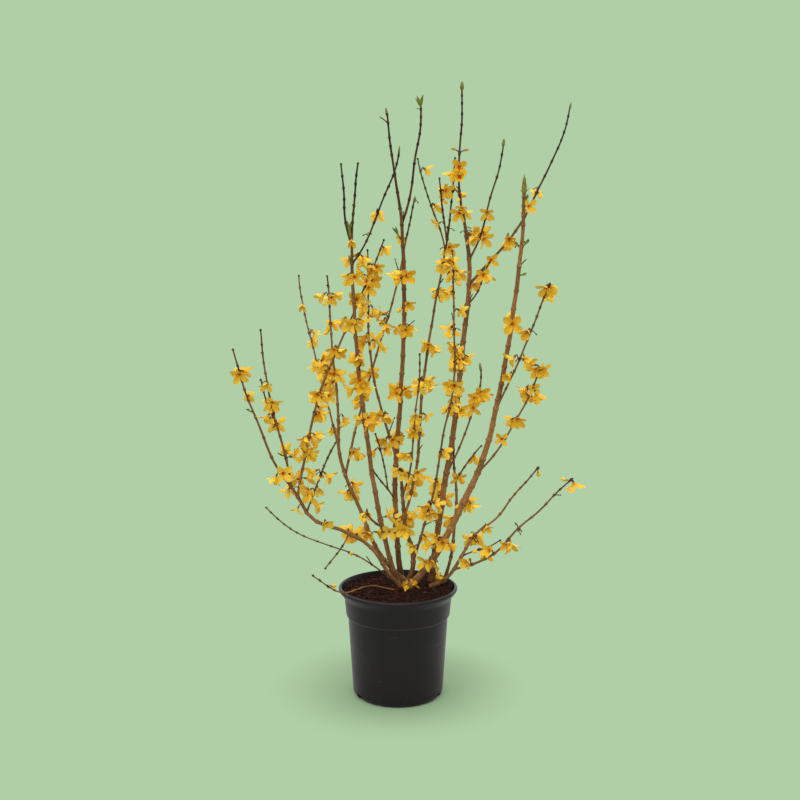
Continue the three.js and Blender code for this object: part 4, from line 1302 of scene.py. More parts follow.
@dataclass
class Corolla:
    """The form of one open blossom: a short bell that parts into four broad petals.

    The petals open by `inner` degrees at their feet and `outer` degrees at their ends, and `cup` is how far
    their edges curl forward, as a share of half their width.
    """

    length: float
    width: float
    inner: float
    outer: float
    cup: float
    twists: tuple[float, ...]
    bends: tuple[float, ...]

    SHARES = np.array([0.0, 0.16, 0.36, 0.58, 0.79, 0.93, 1.0])
    WIDTHS = np.array([0.48, 0.74, 0.95, 1.0, 0.84, 0.5, 0.14])
    ACROSS = np.array([-1.0, -0.5, 0.0, 0.5, 1.0])
    BELL = ((-0.8, 0.9), (1.2, 1.5), (3.1, 2.45))

    @classmethod
    def seeded(cls, run: SeededRun) -> "Corolla":
        """Opens a blossom between a hanging bell and a flat star."""
        inner = 20 + 42 * run.draw()
        return cls(
            length=run.between(10.6, 12.8), width=run.between(6.7, 8.5), inner=inner,
            outer=inner + run.between(4, 34), cup=run.between(0.12, 0.4),
            twists=tuple(run.between(-20, 20) for _ in PETAL_TURNS),
            bends=tuple(run.between(-15, 15) for _ in PETAL_TURNS))

    def petal(self, number: int) -> Array:
        """Gives one petal's points in the blossom's own frame, five across in each row.

        Args:
            number: which of the four petals.

        Returns:
            Points with X and Y across the blossom and Z along its face.
        """
        angle = PETAL_TURNS[number] * DEGREE
        opening = (self.inner + (self.outer - self.inner) * self.SHARES + self.bends[number]) * DEGREE
        steps = np.diff(self.SHARES, prepend=0.0) * self.length
        reach = 2.2 + np.cumsum(np.sin(opening) * steps)
        forward = 2.7 + np.cumsum(np.cos(opening) * steps)
        radial = np.array([math.cos(angle), math.sin(angle), 0.0])
        side = np.array([-math.sin(angle), math.cos(angle), 0.0])
        normal = np.outer(np.cos(opening), -radial) + np.outer(np.sin(opening), UP)
        middle = np.outer(reach, radial) + np.outer(forward, UP)
        twist = self.twists[number] * self.SHARES[:, None] * DEGREE
        lateral = side * np.cos(twist) + normal * np.sin(twist)
        half = (self.WIDTHS * self.width / 2)[:, None, None]
        across = self.ACROSS[None, :, None]
        ripple = 0.3 * np.sin(5 * self.SHARES + self.twists[number])[:, None, None] * across
        rise = half * self.cup * across**2 + ripple
        return (middle[:, None] + lateral[:, None] * half * across + normal[:, None] * rise).reshape(-1, 3)

    def points(self) -> Array:
        """Gives all the blossom's points: the four petals, then the bell's rings."""
        petals = [self.petal(number) for number in range(len(PETAL_TURNS))]
        return np.vstack(petals + [bell_ring(radius, forward) for forward, radius in self.BELL])


class BlossomFaces:
    """The faces that every open blossom shares, and the finish that each is dealt."""

    def __init__(self) -> None:
        """Lays out the petals' rows and the bell's rings."""
        rows, columns, petals = len(Corolla.SHARES), len(Corolla.ACROSS), len(PETAL_TURNS)
        faces, marks = [], []
        for petal in range(petals):
            for row in range(rows - 1):
                for column in range(columns - 1):
                    a = (petal * rows + row) * columns + column
                    faces.append((a, a + 1, a + columns + 1, a + columns))
                    low, high = Corolla.SHARES[row], Corolla.SHARES[row + 1]
                    left, right = column / (columns - 1), (column + 1) / (columns - 1)
                    marks.append((left, low, right, low, right, high, left, high))
        broad = len(faces)
        for ring in range(len(Corolla.BELL) - 1):
            base = petals * rows * columns + ring * BELL_SIDES
            for k in range(BELL_SIDES):
                a, b = base + k, base + (k + 1) % BELL_SIDES
                faces.append((a, b, b + BELL_SIDES, a + BELL_SIDES))
                left, right = k / BELL_SIDES, (k + 1) / BELL_SIDES
                marks.append((left, 0.3, right, 0.3, right, 0.1, left, 0.1))
        self.faces = np.array(faces)
        self.deep = np.arange(len(faces)) >= broad
        self.marks = np.array(marks, float)


@dataclass
class Flowers:
    """The blossoms in their clusters, with their stalks, cups and throats, and the closed ones."""

    shrub: Shrub
    petals: Heap = field(default_factory=Heap)
    throats: Heap = field(default_factory=Heap)
    stalks: Heap = field(default_factory=Heap)
    closed: Heap = field(default_factory=Heap)
    template: BlossomFaces = field(default_factory=BlossomFaces)
    draw_in: float = 1.2
    lift: float = 3.9
    nod: float = -0.14
    cup: tuple[tuple[float, float, float], ...] = ((-2.9, 0.55, 0.0), (-1.6, 1.25, 0.0), (0.2, 1.45, 1.3))
    # where blossoms have dropped on the soil: x, y and the way that they face
    fallen: tuple[tuple[float, float, float], ...] = (
        (6, -16, 60), (18, -14, 130), (60, 3, 250), (56, 13, 250), (52, 28, 300), (47, 38, 80))
    # where blossoms have dropped from a cluster: the limb, how far along, and how many
    dropped: tuple[tuple[str, int, int], ...] = (
        ("side_far", 100, 7), ("side", 78, 5), ("right", 446, 5), ("outer_reach", 362, 4),
        ("left_reach", 40, 3), ("high", 442, 3), ("heart_tall", 372, 3))

    def build(self, nodes: Sequence[str]) -> None:
        """Grows the blossoms of the solids in full, thickens their clusters, and makes the pieces.

        Args:
            nodes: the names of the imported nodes, of which the sprigs are stood for here.
        """
        firm = self.shrub.of_kind(Blossom)
        extra = [blossom for limb in self.shrub.limbs for blossom in self.thicken(limb)]
        for blossom in firm + extra:
            self.add_blossom(blossom)
        for bud in self.shrub.of_kind(Bud):
            self.add_bud(bud.root, bud.way, bud.length * 0.94, bud.limb.fine)
        for limb in self.shrub.limbs:
            self.add_small_buds(limb)
        for place in self.fallen:
            self.add_fallen(place)
        for name, distance, count in self.dropped:
            run = SeededRun(SEED + distance)
            for _ in range(count):
                self.add_spent(self.shrub.by_name[name], distance + run.between(-3, 3), run)
        LOG.info("%d blossoms of the solids and %d more", len(firm), len(extra))
        sprigs = [name for name in nodes if name.startswith("sprig_")]
        shades = [finish.material() for finish in PETALS]
        self.petals.piece("blossoms", Slot.SPRAY, shades, sprigs)
        self.throats.piece("throats", Slot.SPRAY, plain("throat_orange"))
        self.stalks.piece("flower_stalks", Slot.SPRAY, plain("stalk_brown", "cup_olive"))
        self.closed.piece("flower_buds", Slot.SPRAY, shades)

    def thicken(self, limb: Limb) -> list[Blossom]:
        """Adds the blossoms of a limb that the solids leave out, as many as stand clear."""
        more = []
        for distance, turn in limb.more:
            gaps = [abs(place - distance) for place, _ in limb.blooms] or [0]
            sprig = f"sprig_{limb.name}_{gaps.index(min(gaps)) + 1}"
            owner = sprig if distance < limb.stem else limb.owner(distance)
            run = SeededRun(SEED + 10 * distance + turn)
            blossom = self.shrub.blossom_at(limb, distance, turn, owner, run, 0.74, (0.0, 5.0))
            if blossom is not None:
                self.shrub.grown.append(blossom)
                more.append(blossom)
        return more

    def add_blossom(self, blossom: Blossom) -> None:
        """Adds one open blossom: petals and bell, throat, cup and stalk, drawn in and nodding a little."""
        run = blossom.run
        face = unit(blossom.face - UP * self.nod)
        first = unit(blossom.first - face * float(blossom.first @ face))
        frame = np.array([first, np.cross(face, first), face])
        heel = blossom.heel - blossom.out * self.draw_in + UP * self.lift
        self.add_corolla(heel, frame, blossom.size, Corolla.seeded(run), 1 + int(run.draw() * 3))
        self.add_cup(heel, frame, blossom.size)
        self.add_arch(blossom, heel, face)
        if run.draw() < 0.35:
            self.add_spent(blossom.limb, blossom.distance, run)

    def add_corolla(self, heel: Array, frame: Array, size: float, form: Corolla, tone: int) -> None:
        """Adds a blossom's petals and bell, and the orange cone inside.

        Args:
            heel: where the bell starts.
            frame: the directions across, up and along the blossom's face.
            size: its size, as a share of a full blossom.
            form: its form.
            tone: the petals' finish.
        """
        tones = np.where(self.template.deep, 0, tone)
        self.petals.add(heel + form.points() @ frame * size, self.template.faces, tones, self.template.marks)
        cone = heel + np.vstack([bell_ring(1.7, 2.2), [[0, 0, 0.6]]]) @ frame * size
        k = np.arange(BELL_SIDES)
        self.throats.add(cone, np.stack([k, (k + 1) % BELL_SIDES, np.full(BELL_SIDES, BELL_SIDES)], 1), 0)

    def add_cup(self, heel: Array, frame: Array, size: float) -> None:
        """Adds the small cup that holds a bell, its edge in four points."""
        odd = np.arange(BELL_SIDES) % 2
        rings = [bell_ring(radius, forward + point * odd) for forward, radius, point in self.cup]
        k = np.arange(2 * BELL_SIDES)
        after = np.where(k % BELL_SIDES == BELL_SIDES - 1, k - BELL_SIDES + 1, k + 1)
        faces = np.stack([k, after, after + BELL_SIDES, k + BELL_SIDES], 1)
        self.stalks.add(heel + np.vstack(rings) @ frame * size, faces, 1)

    def add_arch(self, blossom: Blossom, heel: Array, face: Array) -> None:
        """Adds a blossom's thin stalk, which arches over to the cup."""
        foot = blossom.root + blossom.out * blossom.radius * 0.6
        end = heel - face * 2.6 * blossom.size
        course = (foot, foot + blossom.out * 2.2 + UP * 2.6, end - face * 2.2 + UP * 1.6, end)
        add_stalk(self.stalks, course, (0.62, 0.46), 0)

    def add_spent(self, limb: Limb, distance: float, run: SeededRun) -> None:
        """Adds a bare stalk whose petals have dropped, its dry cup still on it."""
        out = limb.around(distance, 360 * run.draw())
        foot = limb.point(distance) + out * limb.radius(distance) * 0.6
        end = foot + out * run.between(4, 6.5) + UP * run.between(-1.0, 2.5)
        course = (foot, foot + out * 1.5 + UP * 2.6, end - out * 2 + UP * 1.8, end)
        add_stalk(self.stalks, course, (0.6, 0.45), 0, 5)
        way = unit(out - UP * run.between(0.3, 1.4))
        add_spindle(self.stalks, end - way * 0.4, way, 2.8, 0.95, 0)

    def add_bud(self, root: Array, way: Array, length: float, run: SeededRun) -> None:
        """Adds one closed blossom on its arching stalk.

        Args:
            root: the point on the limb's middle line.
            way: the direction that it hangs in.
            length: from the limb's middle to its tip.
            run: where its seeded numbers come from.
        """
        stalk = length * 0.36
        end = root + way * stalk
        course = (root, root + way * stalk * 0.3 + UP * 2.4, root + way * stalk * 0.7 + UP * 2.0, end)
        add_stalk(self.stalks, course, (0.5, 0.5), 0)
        add_spindle(self.stalks, root + way * (stalk - 0.5), way, 2.7, 1.4, 1, 6, CUP_PROFILE)
        add_spindle(self.closed, root + way * (stalk + 0.6), way, length - stalk - 0.6,
                    run.between(2.2, 2.9), 1 + int(run.draw() * 3), 8, EGG_PROFILE)

    def add_small_buds(self, limb: Limb) -> None:
        """Adds small closed blossoms beside some clusters."""
        for distance, count in limb.blooms:
            for _ in range(1 + count // 2):
                if limb.fine.draw() > 0.5:
                    continue
                place = float(np.clip(distance + limb.fine.between(-10, 10), 2, limb.length - 1))
                out = limb.around(place, 360 * limb.fine.draw())
                way = unit(out - UP * limb.fine.between(0.2, 1.2))
                length = limb.fine.between(9, 13) + float(limb.radius(place))
                self.add_bud(limb.point(place), way, length, limb.fine)

    def add_fallen(self, place: tuple[float, float, float]) -> None:
        """Adds a blossom that lies on the soil on its side."""
        x, y, heading = place
        run = SeededRun(SEED + int(100 * x + y))
        heading *= DEGREE
        face = unit(np.array([math.sin(heading), -math.cos(heading), run.between(0.1, 0.5)]))
        level = unit(np.cross(UP, face))
        frame = np.array([level, np.cross(face, level), face])
        heel = np.array([x, y, soil_height(x, y) + 4.0])
        self.add_corolla(heel, frame, 0.66, Corolla.seeded(run), 2)


# ---------------------------------------------------------------- leaf buds


@dataclass(frozen=True)
class Shoot:
    """A young shoot that breaks from a knot: a dark stalk that ends in green leaves.

    `side` is its lean towards +X in degrees from upright. `spread` is how far the leaves part.
    """

    limb: str
    distance: float
    side: float
    stalk: float
    length: float
    leaves: int
    spread: float = 0.25


SHOOTS = (
    Shoot("left", 432, -5, 2, 21, 4, 0.1), Shoot("left", 402, -8, 5, 8, 1),
    Shoot("centre", 426, -28, 7, 13, 3, 0.28), Shoot("centre", 447, 2, 13, 3, 0),
    Shoot("high_arch", 66, 14, 9, 9, 2, 0.05), Shoot("right", 445, 40, 4, 7, 2, 0.2),
    Shoot("right", 444, -40, 3, 6, 1, 0.3), Shoot("right", 412, 70, 2, 6, 1, 0.2),
    Shoot("right", 496, 20, 1, 7, 1), Shoot("heart_tall", 300, 30, 5, 5, 0),
    Shoot("low", 300, -60, 3, 5, 1),
)


@dataclass
class Greens:
    """The leaf buds and young leaves at the limbs' tips and on a few knots."""

    shrub: Shrub
    leaves: Heap = field(default_factory=Heap)
    finishes: tuple[str, ...] = ("leaf_green", "leaf_olive", "tip_brown", "bud_gold")
    pair: tuple[str, float] = ("high", 539.0)

    def build(self) -> None:
        """Adds each limb's tip and the young shoots, and makes the piece."""
        for limb in self.shrub.limbs:
            if limb.tip is Tip.LEAFLETS:
                self.add_tuft(limb)
            elif limb.tip is Tip.BLUNT:
                self.add_blunt(limb)
            else:
                self.add_spear(limb)
        for shoot in SHOOTS:
            self.add_shoot(shoot)
        self.add_pair(self.shrub.by_name[self.pair[0]], self.pair[1])
        self.leaves.piece("leaf_buds", Slot.SPRAY, plain(*self.finishes))

    def add_pair(self, limb: Limb, distance: float) -> None:
        """Adds two opposite gold-green buds on stalks that curve upwards."""
        root = limb.point(distance)
        for turn in (0, 180):
            out = limb.around(distance, turn)
            end = root + out * 5.6 + UP * 2.6
            course = (root, root + out * 1.6, root + out * 3.4 + UP * 2.2, end)
            add_stalk(self.leaves, course, (0.95, 0.6), 2, sides=5)
            way = unit(out + UP * 0.22)
            add_spindle(self.leaves, end - out * 0.8, way, 6.4, 1.75, 3, 7, PLUMP_PROFILE)

    def add_leaf(self, root: Array, way: Array, face: Array, length: float, width: float, tone: int,
                 curl: float = 0.08) -> None:
        """Adds one young leaf, folded along its rib.

        Args:
            root: its foot.
            way: the direction that it points in.
            face: the side that its upper face looks to.
            length: from foot to tip.
            width: its full width.
            tone: the finish's index.
            curl: how far its tip bends back, as a share of the length.
        """
        side = unit(np.cross(way, face))
        normal = np.cross(side, way)
        shares = np.array([0, 0.22, 0.5, 0.78, 1.0])
        half = np.array([0.2, 0.85, 1.0, 0.6, 0.05]) * width / 2
        middle = root + np.outer(shares * length, way) - np.outer(shares**2 * length * curl, normal)
        lift = np.outer(half * 0.5, normal)
        edge = np.outer(half, side)
        points = np.stack([middle - edge + lift, middle, middle + edge + lift], 1).reshape(-1, 3)
        corners = np.array([3 * row + column for row in range(len(shares) - 1) for column in range(2)])
        self.leaves.add(points, corners[:, None] + np.array([0, 1, 4, 3]), tone)

    def add_blunt(self, limb: Limb) -> None:
        """Adds a short dark end between two small scales."""
        end, way = limb.points[STEPS], limb.frame(limb.length)[0]
        add_spindle(self.leaves, end - way * 2.6, way, 3.4, 1.15, 2, 6)
        for turn in (30, 210):
            out = limb.around(limb.length, turn)
            add_spindle(self.leaves, end - way * 2.4, unit(way * 1.2 + out), 2.7, 0.7, 2)

    def add_spear(self, limb: Limb) -> None:
        """Adds a pointed leaf bud that ends where the limb does, its outer leaves starting to part."""
        length, radius = limb.bud
        start, end = limb.point(limb.length - length), limb.points[STEPS]
        way = unit(end - start)
        fat = limb.tip is Tip.FAT_SPEAR
        add_spindle(self.leaves, start - way, way, length + 1, radius, 1, 8, SPEAR_PROFILE)
        for turn in (10, 190):
            out = limb.around(limb.length, turn)
            self.add_leaf(start + out * radius * 0.75, unit(way + out * 0.03), -out, length * 0.86,
                          radius * 1.9, int(fat and turn > 90), -0.06)
            add_spindle(self.leaves, start - way * 1.5, unit(way + out * 0.25), 2.6, 0.25 * radius + 0.3, 2)
        if fat:
            for turn, share in ((0, 0.42), (180, 0.3)):
                out = limb.around(limb.length, turn)
                self.add_leaf(start + out * 1.0, unit(way + out * 0.6), -out, length * share, 3.0, 1)

    def add_tuft(self, limb: Limb) -> None:
        """Adds an open tuft of young leaves round a short bud."""
        length = limb.bud[0]
        start, way = limb.point(limb.length - length), limb.frame(limb.length)[0]
        add_spindle(self.leaves, start - way, way, length * 0.7, 1.6, 1, 6)
        for turn, lean, share in ((310, 0.5, 1.2), (50, 0.4, 1.0), (130, 0.6, 1.3), (230, 0.42, 1.1)):
            out = limb.around(limb.length, turn)
            self.add_leaf(start + out * 0.6, unit(way + out * lean), -out, length * share, 5.0, 0, -0.04)
        out = limb.around(limb.length, 185)
        self.add_leaf(start - way * 3.5, unit(way * 0.5 + out), -out, 7.5, 2.4, 1)

    def add_shoot(self, shoot: Shoot) -> None:
        """Adds a young shoot: its stalk, and its leaves about their own middle line."""
        limb = self.shrub.by_name[shoot.limb]
        lean = shoot.side * DEGREE
        way = unit(np.array([math.sin(lean), -0.12, math.cos(lean)]))
        root = limb.point(shoot.distance)
        bend = np.array([math.copysign(1.0, lean), 0.0, 0.0]) * (float(limb.radius(shoot.distance)) + 1.0)
        end = root + bend * 0.7 + way * shoot.stalk
        course = (root, root + bend * 0.6, root + bend * 0.7 + way * 1.5, end)
        add_stalk(self.leaves, course, (0.9, 0.65), 2, sides=5)
        core = max(3.0, shoot.length * 0.55)
        add_spindle(self.leaves, end - way, way, core, 1.05, 0 if shoot.leaves else 2, 6)
        across = unit(np.cross(way, np.array([0.0, 1.0, 0.0])))
        for i in range(shoot.leaves):
            out = turned(across, np.cross(way, across), i * 180 + 55 + 70 * (i // 2))
            parted = unit(way + out * shoot.spread * (shoot.leaves > 1))
            self.add_leaf(end + out * 0.4, parted, -out, shoot.length * (1 - 0.1 * i), 3.8,
                          i % 2 if shoot.limb == "right" else 0, 0.03)


# ---------------------------------------------------------------- pot and soil


def soil_height(x: float, y: float) -> float:
    """Gives the soil's height: a flat mound where the stems stand, sloping to the edge at the wall."""
    out = math.hypot((x - SOIL_CENTRE[0]) / SOIL_REACH[0], (y - SOIL_CENTRE[1]) / SOIL_REACH[1])
    t = min(max((out - 1) / 0.75, 0.0), 1.0)
    return SOIL_EDGE + (SOIL_CROWN - SOIL_EDGE) * (1 - t * t * (3 - 2 * t))


def arc(centre: tuple[float, float], radius: float, first: float, last: float, steps: int
        ) -> list[tuple[float, float]]:
    """Gives points on an arc, its angles in degrees."""
    angles = np.linspace(first, last, steps) * DEGREE
    return [(centre[0] + radius * math.cos(a), centre[1] + radius * math.sin(a)) for a in angles]


def draw_up(name: str, line: Sequence[tuple[float, float]], sides: int) -> bpy.types.Object:
    """Draws a round body up from its underside.

    Args:
        name: the piece's name.
        line: the radius and the height of each ring, in millimetres.
        sides: how many sides it has.

    Returns:
        The body, which is the active object.
    """
    bpy.ops.object.select_all(action="DESELECT")
    bpy.ops.mesh.primitive_circle_add(vertices=sides, radius=line[0][0] * MM, fill_type="NGON",
                                      location=(0, 0, line[0][1] * MM))
    body = bpy.context.object
    body.name = body.data.name = name
    bpy.ops.object.transform_apply()
    bpy.ops.object.mode_set(mode="EDIT")
    bpy.ops.mesh.select_all(action="SELECT")
    for (radius, height), (next_radius, next_height) in zip(line, line[1:]):
        rise, scale = (next_height - height) * MM, next_radius / radius
        bpy.ops.mesh.extrude_region_move(TRANSFORM_OT_translate={"value": (0, 0, rise)})
        bpy.ops.transform.resize(value=(scale, scale, 1), center_override=(0, 0, next_height * MM))
    bpy.ops.mesh.select_all(action="SELECT")
    bpy.ops.mesh.normals_make_consistent(inside=False)
    bpy.ops.object.mode_set(mode="OBJECT")
    return body


@dataclass
class Pot:
    """The nursery pot: a tapering wall, a collar, a rolled rim and three drainage notches in its foot."""

    sides: int = 144
    foot: float = 50.5
    heel: float = 56.2
    shoulder: float = 61.9
    collar: float = 64.4
    neck: float = 66.3
    wall: float = 1.8
    floor: float = 2.4
    notches: tuple[float, ...] = (-146.0, -26.0, 94.0)
    notch_width: float = 14.0
    notch_height: float = 6.5
    notch_depth: float = 9.0
    rounding: float = 0.35

    def outside(self) -> list[tuple[float, float]]:
        """Gives the wall's outer line, from the underside up to the rim's lip."""
        heel = [(self.foot + (self.heel - self.foot) * math.sin(a * DEGREE), 7 * (1 - math.cos(a * DEGREE)))
                for a in range(0, 91, 15)]
        step = [(self.shoulder, 98.0), (self.shoulder + 0.5, 100.2), (self.collar - 0.2, 101.4),
                (self.collar, 102.4)]
        flare = [(self.neck, 121.5), (67.0, 123.8), (68.4, 126.0), (70.4, 128.6), (72.2, 130.8)]
        return heel + step + flare + arc((71.3, 133.9), 2.4, -22, 70, 7)

    def inside(self) -> list[tuple[float, float]]:
        """Gives the wall's inner line, from the lip down to the floor."""
        lip = [(71.2, 136.45), (70.3, 136.1), (69.6, 134.6), (68.7, 131.0), (66.4, 126.2)]
        bends = ((self.neck, 121.5), (self.collar, 103.5), (self.shoulder, 98.0), (self.heel, 8.0))
        inner = [(radius - self.wall, height) for radius, height in bends]
        return lip + inner + [(self.heel - 5, self.floor)]

    def build(self) -> None:
        """Draws the wall up from its underside, cuts the notches and rounds the edges."""
        pot = draw_up("pot", self.outside() + self.inside(), self.sides)
        for angle in self.notches:
            self.cut_notch(pot, angle)
        bevel = pot.modifiers.new("rounded_edges", "BEVEL")
        bevel.width, bevel.segments = self.rounding * MM, 2
        bevel.limit_method, bevel.angle_limit = "ANGLE", 42 * DEGREE
        bpy.ops.object.modifier_apply(modifier=bevel.name)
        bpy.ops.object.shade_smooth_by_angle(angle=38 * DEGREE)
        pot.data.materials.append(Plastic("satin_black_plastic", 0.33, 0.00002).material())
        dress(pot, ["pot"])

    def cut_notch(self, pot: bpy.types.Object, angle: float) -> None:
        """Cuts one drainage notch through the corner of the foot."""
        turn = angle * DEGREE
        place = (self.heel * math.cos(turn) * MM, self.heel * math.sin(turn) * MM, 0)
        bpy.ops.object.select_all(action="DESELECT")
        bpy.ops.mesh.primitive_cube_add(size=1, location=place, rotation=(0, 0, turn))
        cutter = bpy.context.object
        cutter.scale = (self.notch_depth * MM, self.notch_width * MM, 2 * self.notch_height * MM)
        bpy.ops.object.transform_apply()
        bpy.ops.object.select_all(action="DESELECT")
        pot.select_set(True)
        bpy.context.view_layer.objects.active = pot
        cut = pot.modifiers.new("notch", "BOOLEAN")
        cut.object, cut.operation, cut.solver = cutter, "DIFFERENCE", "EXACT"
        bpy.ops.object.modifier_apply(modifier=cut.name)
        bpy.data.objects.remove(cutter)


@dataclass
class Soil:
    """Fibrous potting soil: a rough mound, crumbs and reddish fibres."""

    sides: int = 96
    rings: int = 26
    edge: float = 68.0
    crumbs: int = 620
    fibres: int = 900
    reach: float = 66.6
    wall: float = 67.3

    def build(self) -> None:
        """Makes the mound and what lies on it."""
        self.build_mound()
        run = SeededRun(SEED + 9)
        crumbs, fibres = Heap(), Heap()
        for _ in range(self.crumbs):
            self.add_crumb(crumbs, run)
        for _ in range(self.fibres):
            self.add_fibre(fibres, run)
        crumbs.piece("soil_crumbs", Slot.SOIL, plain("crumb_dark", "crumb_red"))
        fibres.piece("soil_fibres", Slot.SOIL, plain("fibre_red", "fibre_brown", "fibre_straw"))

    def height(self, x: float, y: float) -> float:
        """Gives the rough mound's height in millimetres."""
        large = noise.noise(Vector((x / 9, y / 9, 1.7))) * 1.8
        small = noise.noise(Vector((x / 3.4, y / 3.4, 5.1))) * 1.1
        return soil_height(x, y) - 0.9 + (large + small)

    def build_mound(self) -> None:
        """Draws the soil's body up inside the pot, then roughens its top."""
        wall = [(48.6, 2.9), (54.0, 9.0), (59.4, 98.0), (61.9, 104.0), (64.0, 121.5), (65.9, 126.0)]
        tops = [(self.edge * (1 - (k / self.rings) ** 1.1 * 0.985), SOIL_EDGE) for k in range(self.rings)]
        soil = draw_up("soil", wall + tops, self.sides)
        for vertex in soil.data.vertices:
            if vertex.co.z > (SOIL_EDGE - 0.5) * MM:
                vertex.co.z = self.height(vertex.co.x / MM, vertex.co.y / MM) * MM
        soil.data.shade_smooth()
        soil.data.materials.append(plain("potting_mix")[0])
        dress(soil, ["potting_soil"])

    def somewhere(self, run: SeededRun) -> tuple[float, float]:
        """Picks a seeded place on the soil, even over its area."""
        reach, turn = self.reach * math.sqrt(run.draw()), 2 * math.pi * run.draw()
        return reach * math.cos(turn), reach * math.sin(turn)

    def add_crumb(self, heap: Heap, run: SeededRun) -> None:
        """Adds one small lump: a low eight-faced stone shape."""
        x, y = self.somewhere(run)
        size = run.between(0.5, 1.9)
        turn = run.between(0, math.pi)
        turns = [turn + k * math.pi / 2 for k in range(4)]
        corners = np.array([[math.cos(angle), math.sin(angle), 0] for angle in turns])
        points = np.vstack([corners, [[0, 0, 0.8]], [[0, 0, -0.8]]])
        points *= np.array([run.between(0.7, 1.4), run.between(0.7, 1.2), run.between(0.6, 1.0)]) * size
        points += np.array([x, y, self.height(x, y) + size * 0.2])
        faces = [(k, (k + 1) % 4, 4) for k in range(4)] + [((k + 1) % 4, k, 5) for k in range(4)]
        heap.add(points, np.array(faces), int(run.draw() < 0.45))

    def add_fibre(self, heap: Heap, run: SeededRun) -> None:
        """Adds one bent fibre that lies on the soil."""
        x, y = self.somewhere(run)
        heading, length = run.between(0, 2 * math.pi), run.between(3.0, 11.0)
        bend = run.between(-0.8, 0.8)
        path = []
        for k in range(4):
            angle = heading + bend * (k - 1.5) / 1.5
            x, y = x + math.cos(angle) * length / 3, y + math.sin(angle) * length / 3
            if math.hypot(x, y) > self.wall:
                return
            path.append([x, y, self.height(x, y) + run.between(0.0, 0.9)])
        thick = run.between(0.2, 0.6)
        pick = run.draw()
        add_tube(heap, np.array(path), np.array([0.4, 1, 0.9, 0.3]) * thick, 3,
                 0 if pick < 0.5 else 1 if pick < 0.93 else 2)


# ---------------------------------------------------------------- studio


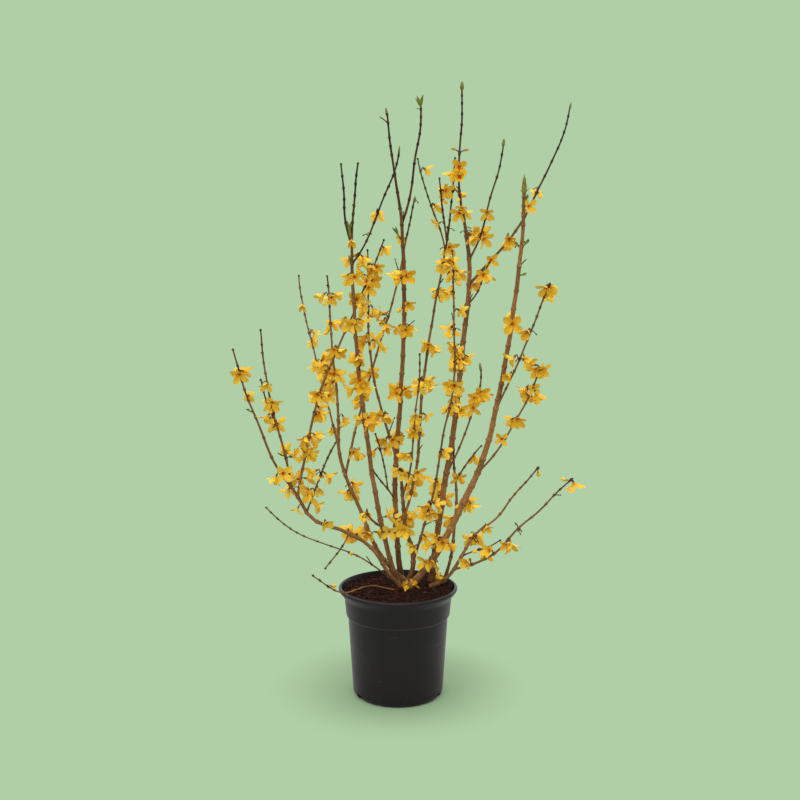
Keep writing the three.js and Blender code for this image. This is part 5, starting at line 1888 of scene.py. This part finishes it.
@dataclass
class Studio:
    """A plain pale green room with soft light, and the camera."""

    tint: tuple[int, int, int] = (176, 207, 167)
    matt: tuple[float, float, float] = (0.302, 0.435, 0.269)
    horizon: float = 0.46
    zenith: float = 0.86
    sun: float = 0.8
    sun_width: float = 65.0
    sun_way: tuple[float, float, float] = (0.2, 0.66, -0.78)
    sun_tint: tuple[float, float, float] = (1.0, 0.98, 0.94)
    dome_tint: tuple[float, float, float, float] = (1.0, 0.99, 0.97, 1.0)
    floor_glow: tuple[float, float, float, float] = (0.6, 0.6, 0.58, 1.0)
    floor_size: float = 60.0
    shadow_centre: tuple[float, float, float] = (0.0, 0.022, 0.0)
    shadow_reach: tuple[float, float] = (0.085, 0.18)
    place: tuple[float, float, float] = (0.0025, -1.300, 0.528)
    pitch: float = 7.0
    lens: float = 48.465

    def build(self) -> None:
        """Builds the camera, the light and the floor."""
        self.add_camera()
        self.add_world()
        self.add_sun()
        self.add_floor()
        bpy.context.scene.view_settings.view_transform = "Standard"
        bpy.context.scene.view_settings.look = "None"

    def add_camera(self) -> None:
        """Sets the camera in front of the pot, a little above its middle, tipped down."""
        data = bpy.data.cameras.new("camera")
        data.lens, data.sensor_width, data.clip_start, data.clip_end = self.lens, 36.0, 0.01, 100.0
        camera = bpy.data.objects.new("camera", data)
        camera.location = self.place
        camera.rotation_euler = ((90 - self.pitch) * DEGREE, 0.0, 0.0)
        bpy.context.scene.collection.objects.link(camera)
        bpy.context.scene.camera = camera

    def add_world(self) -> None:
        """Shows a flat tint behind, and lights from a dome that is dim in front and bright above."""
        world = bpy.data.worlds.new("studio")
        world.use_nodes = True
        bpy.context.scene.world = world
        nodes = Nodes(world.node_tree)
        world.node_tree.nodes.clear()
        parts = nodes.add("SeparateXYZ", {0: nodes.add("TexCoord").outputs["Generated"]}).outputs
        behind = nodes.remap(parts["Y"], -0.1, 0.9, self.horizon, self.horizon * 2.0)
        above = nodes.remap(parts["Z"], 0.1, 0.8, 0.0, self.zenith, "SMOOTHSTEP")
        glow = nodes.maths("ADD", behind, above)
        soft = nodes.add("Background", {"Color": self.dome_tint, "Strength": glow})
        flat = nodes.add("Background", {"Color": linear(*self.tint), "Strength": 1.0})
        seen = nodes.add("LightPath").outputs["Is Camera Ray"]
        mixed = nodes.add("MixShader", {0: seen, 1: soft.outputs[0], 2: flat.outputs[0]})
        nodes.add("OutputWorld", {"Surface": mixed.outputs[0]})

    def add_sun(self) -> None:
        """Adds a broad soft light from above, a little to the left and in front."""
        data = bpy.data.lights.new("key", "SUN")
        data.energy, data.angle, data.color = self.sun, self.sun_width * DEGREE, self.sun_tint
        light = bpy.data.objects.new("key", data)
        light.rotation_mode = "QUATERNION"
        light.rotation_quaternion = Vector(self.sun_way).to_track_quat("-Z", "Y")
        bpy.context.scene.collection.objects.link(light)

    def add_floor(self) -> None:
        """Lays the floor: matt near the pot, where shadow falls, and the room's flat tint further off.

        The pot is lit by the same floor in grey, so that its black stays neutral.
        """
        bpy.ops.object.select_all(action="DESELECT")
        bpy.ops.mesh.primitive_plane_add(size=self.floor_size, location=(0, 0, 0))
        floor = bpy.context.object
        floor.name = "floor"
        material = bpy.data.materials.new("floor_paper")
        material.use_nodes = True
        nodes = Nodes(material.node_tree)
        material.node_tree.nodes.clear()
        place = nodes.add("TexCoord").outputs["Object"]
        seen = nodes.add("LightPath").outputs["Is Camera Ray"]
        shadow = nodes.add("VectorMath", {0: place, 1: self.shadow_centre}, operation="SUBTRACT")
        reach = nodes.add("VectorMath", {0: shadow.outputs[0]}, operation="LENGTH")
        share = nodes.remap(reach.outputs["Value"], *self.shadow_reach, ease="SMOOTHSTEP")
        grey = (self.matt[1],) * 3 + (1.0,)
        matt = nodes.add("BsdfDiffuse", {"Color": nodes.mix(seen, grey, (*self.matt, 1.0))})
        glow = nodes.mix(seen, self.floor_glow, linear(*self.tint))
        flat = nodes.add("Emission", {"Color": glow, "Strength": 1.0})
        mixed = nodes.add("MixShader", {0: share, 1: matt.outputs[0], 2: flat.outputs[0]})
        nodes.add("OutputMaterial", {"Surface": mixed.outputs[0]})
        floor.data.materials.append(material)


def main() -> None:
    """Builds the shrub, its pot and the room, in order."""
    logging.basicConfig(level=logging.INFO, format="%(name)s: %(message)s")
    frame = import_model()
    names = sorted(frame["nodes"])
    Pot().build()
    Soil().build()
    shrub = Shrub()
    LOG.info("%d blossoms, %d buds, %d spurs", *(len(shrub.of_kind(kind)) for kind in (Blossom, Bud, Spur)))
    Wood(shrub).build(names)
    Flowers(shrub).build(names)
    Greens(shrub).build()
    Studio().build()


if __name__ == "__main__":
    main()
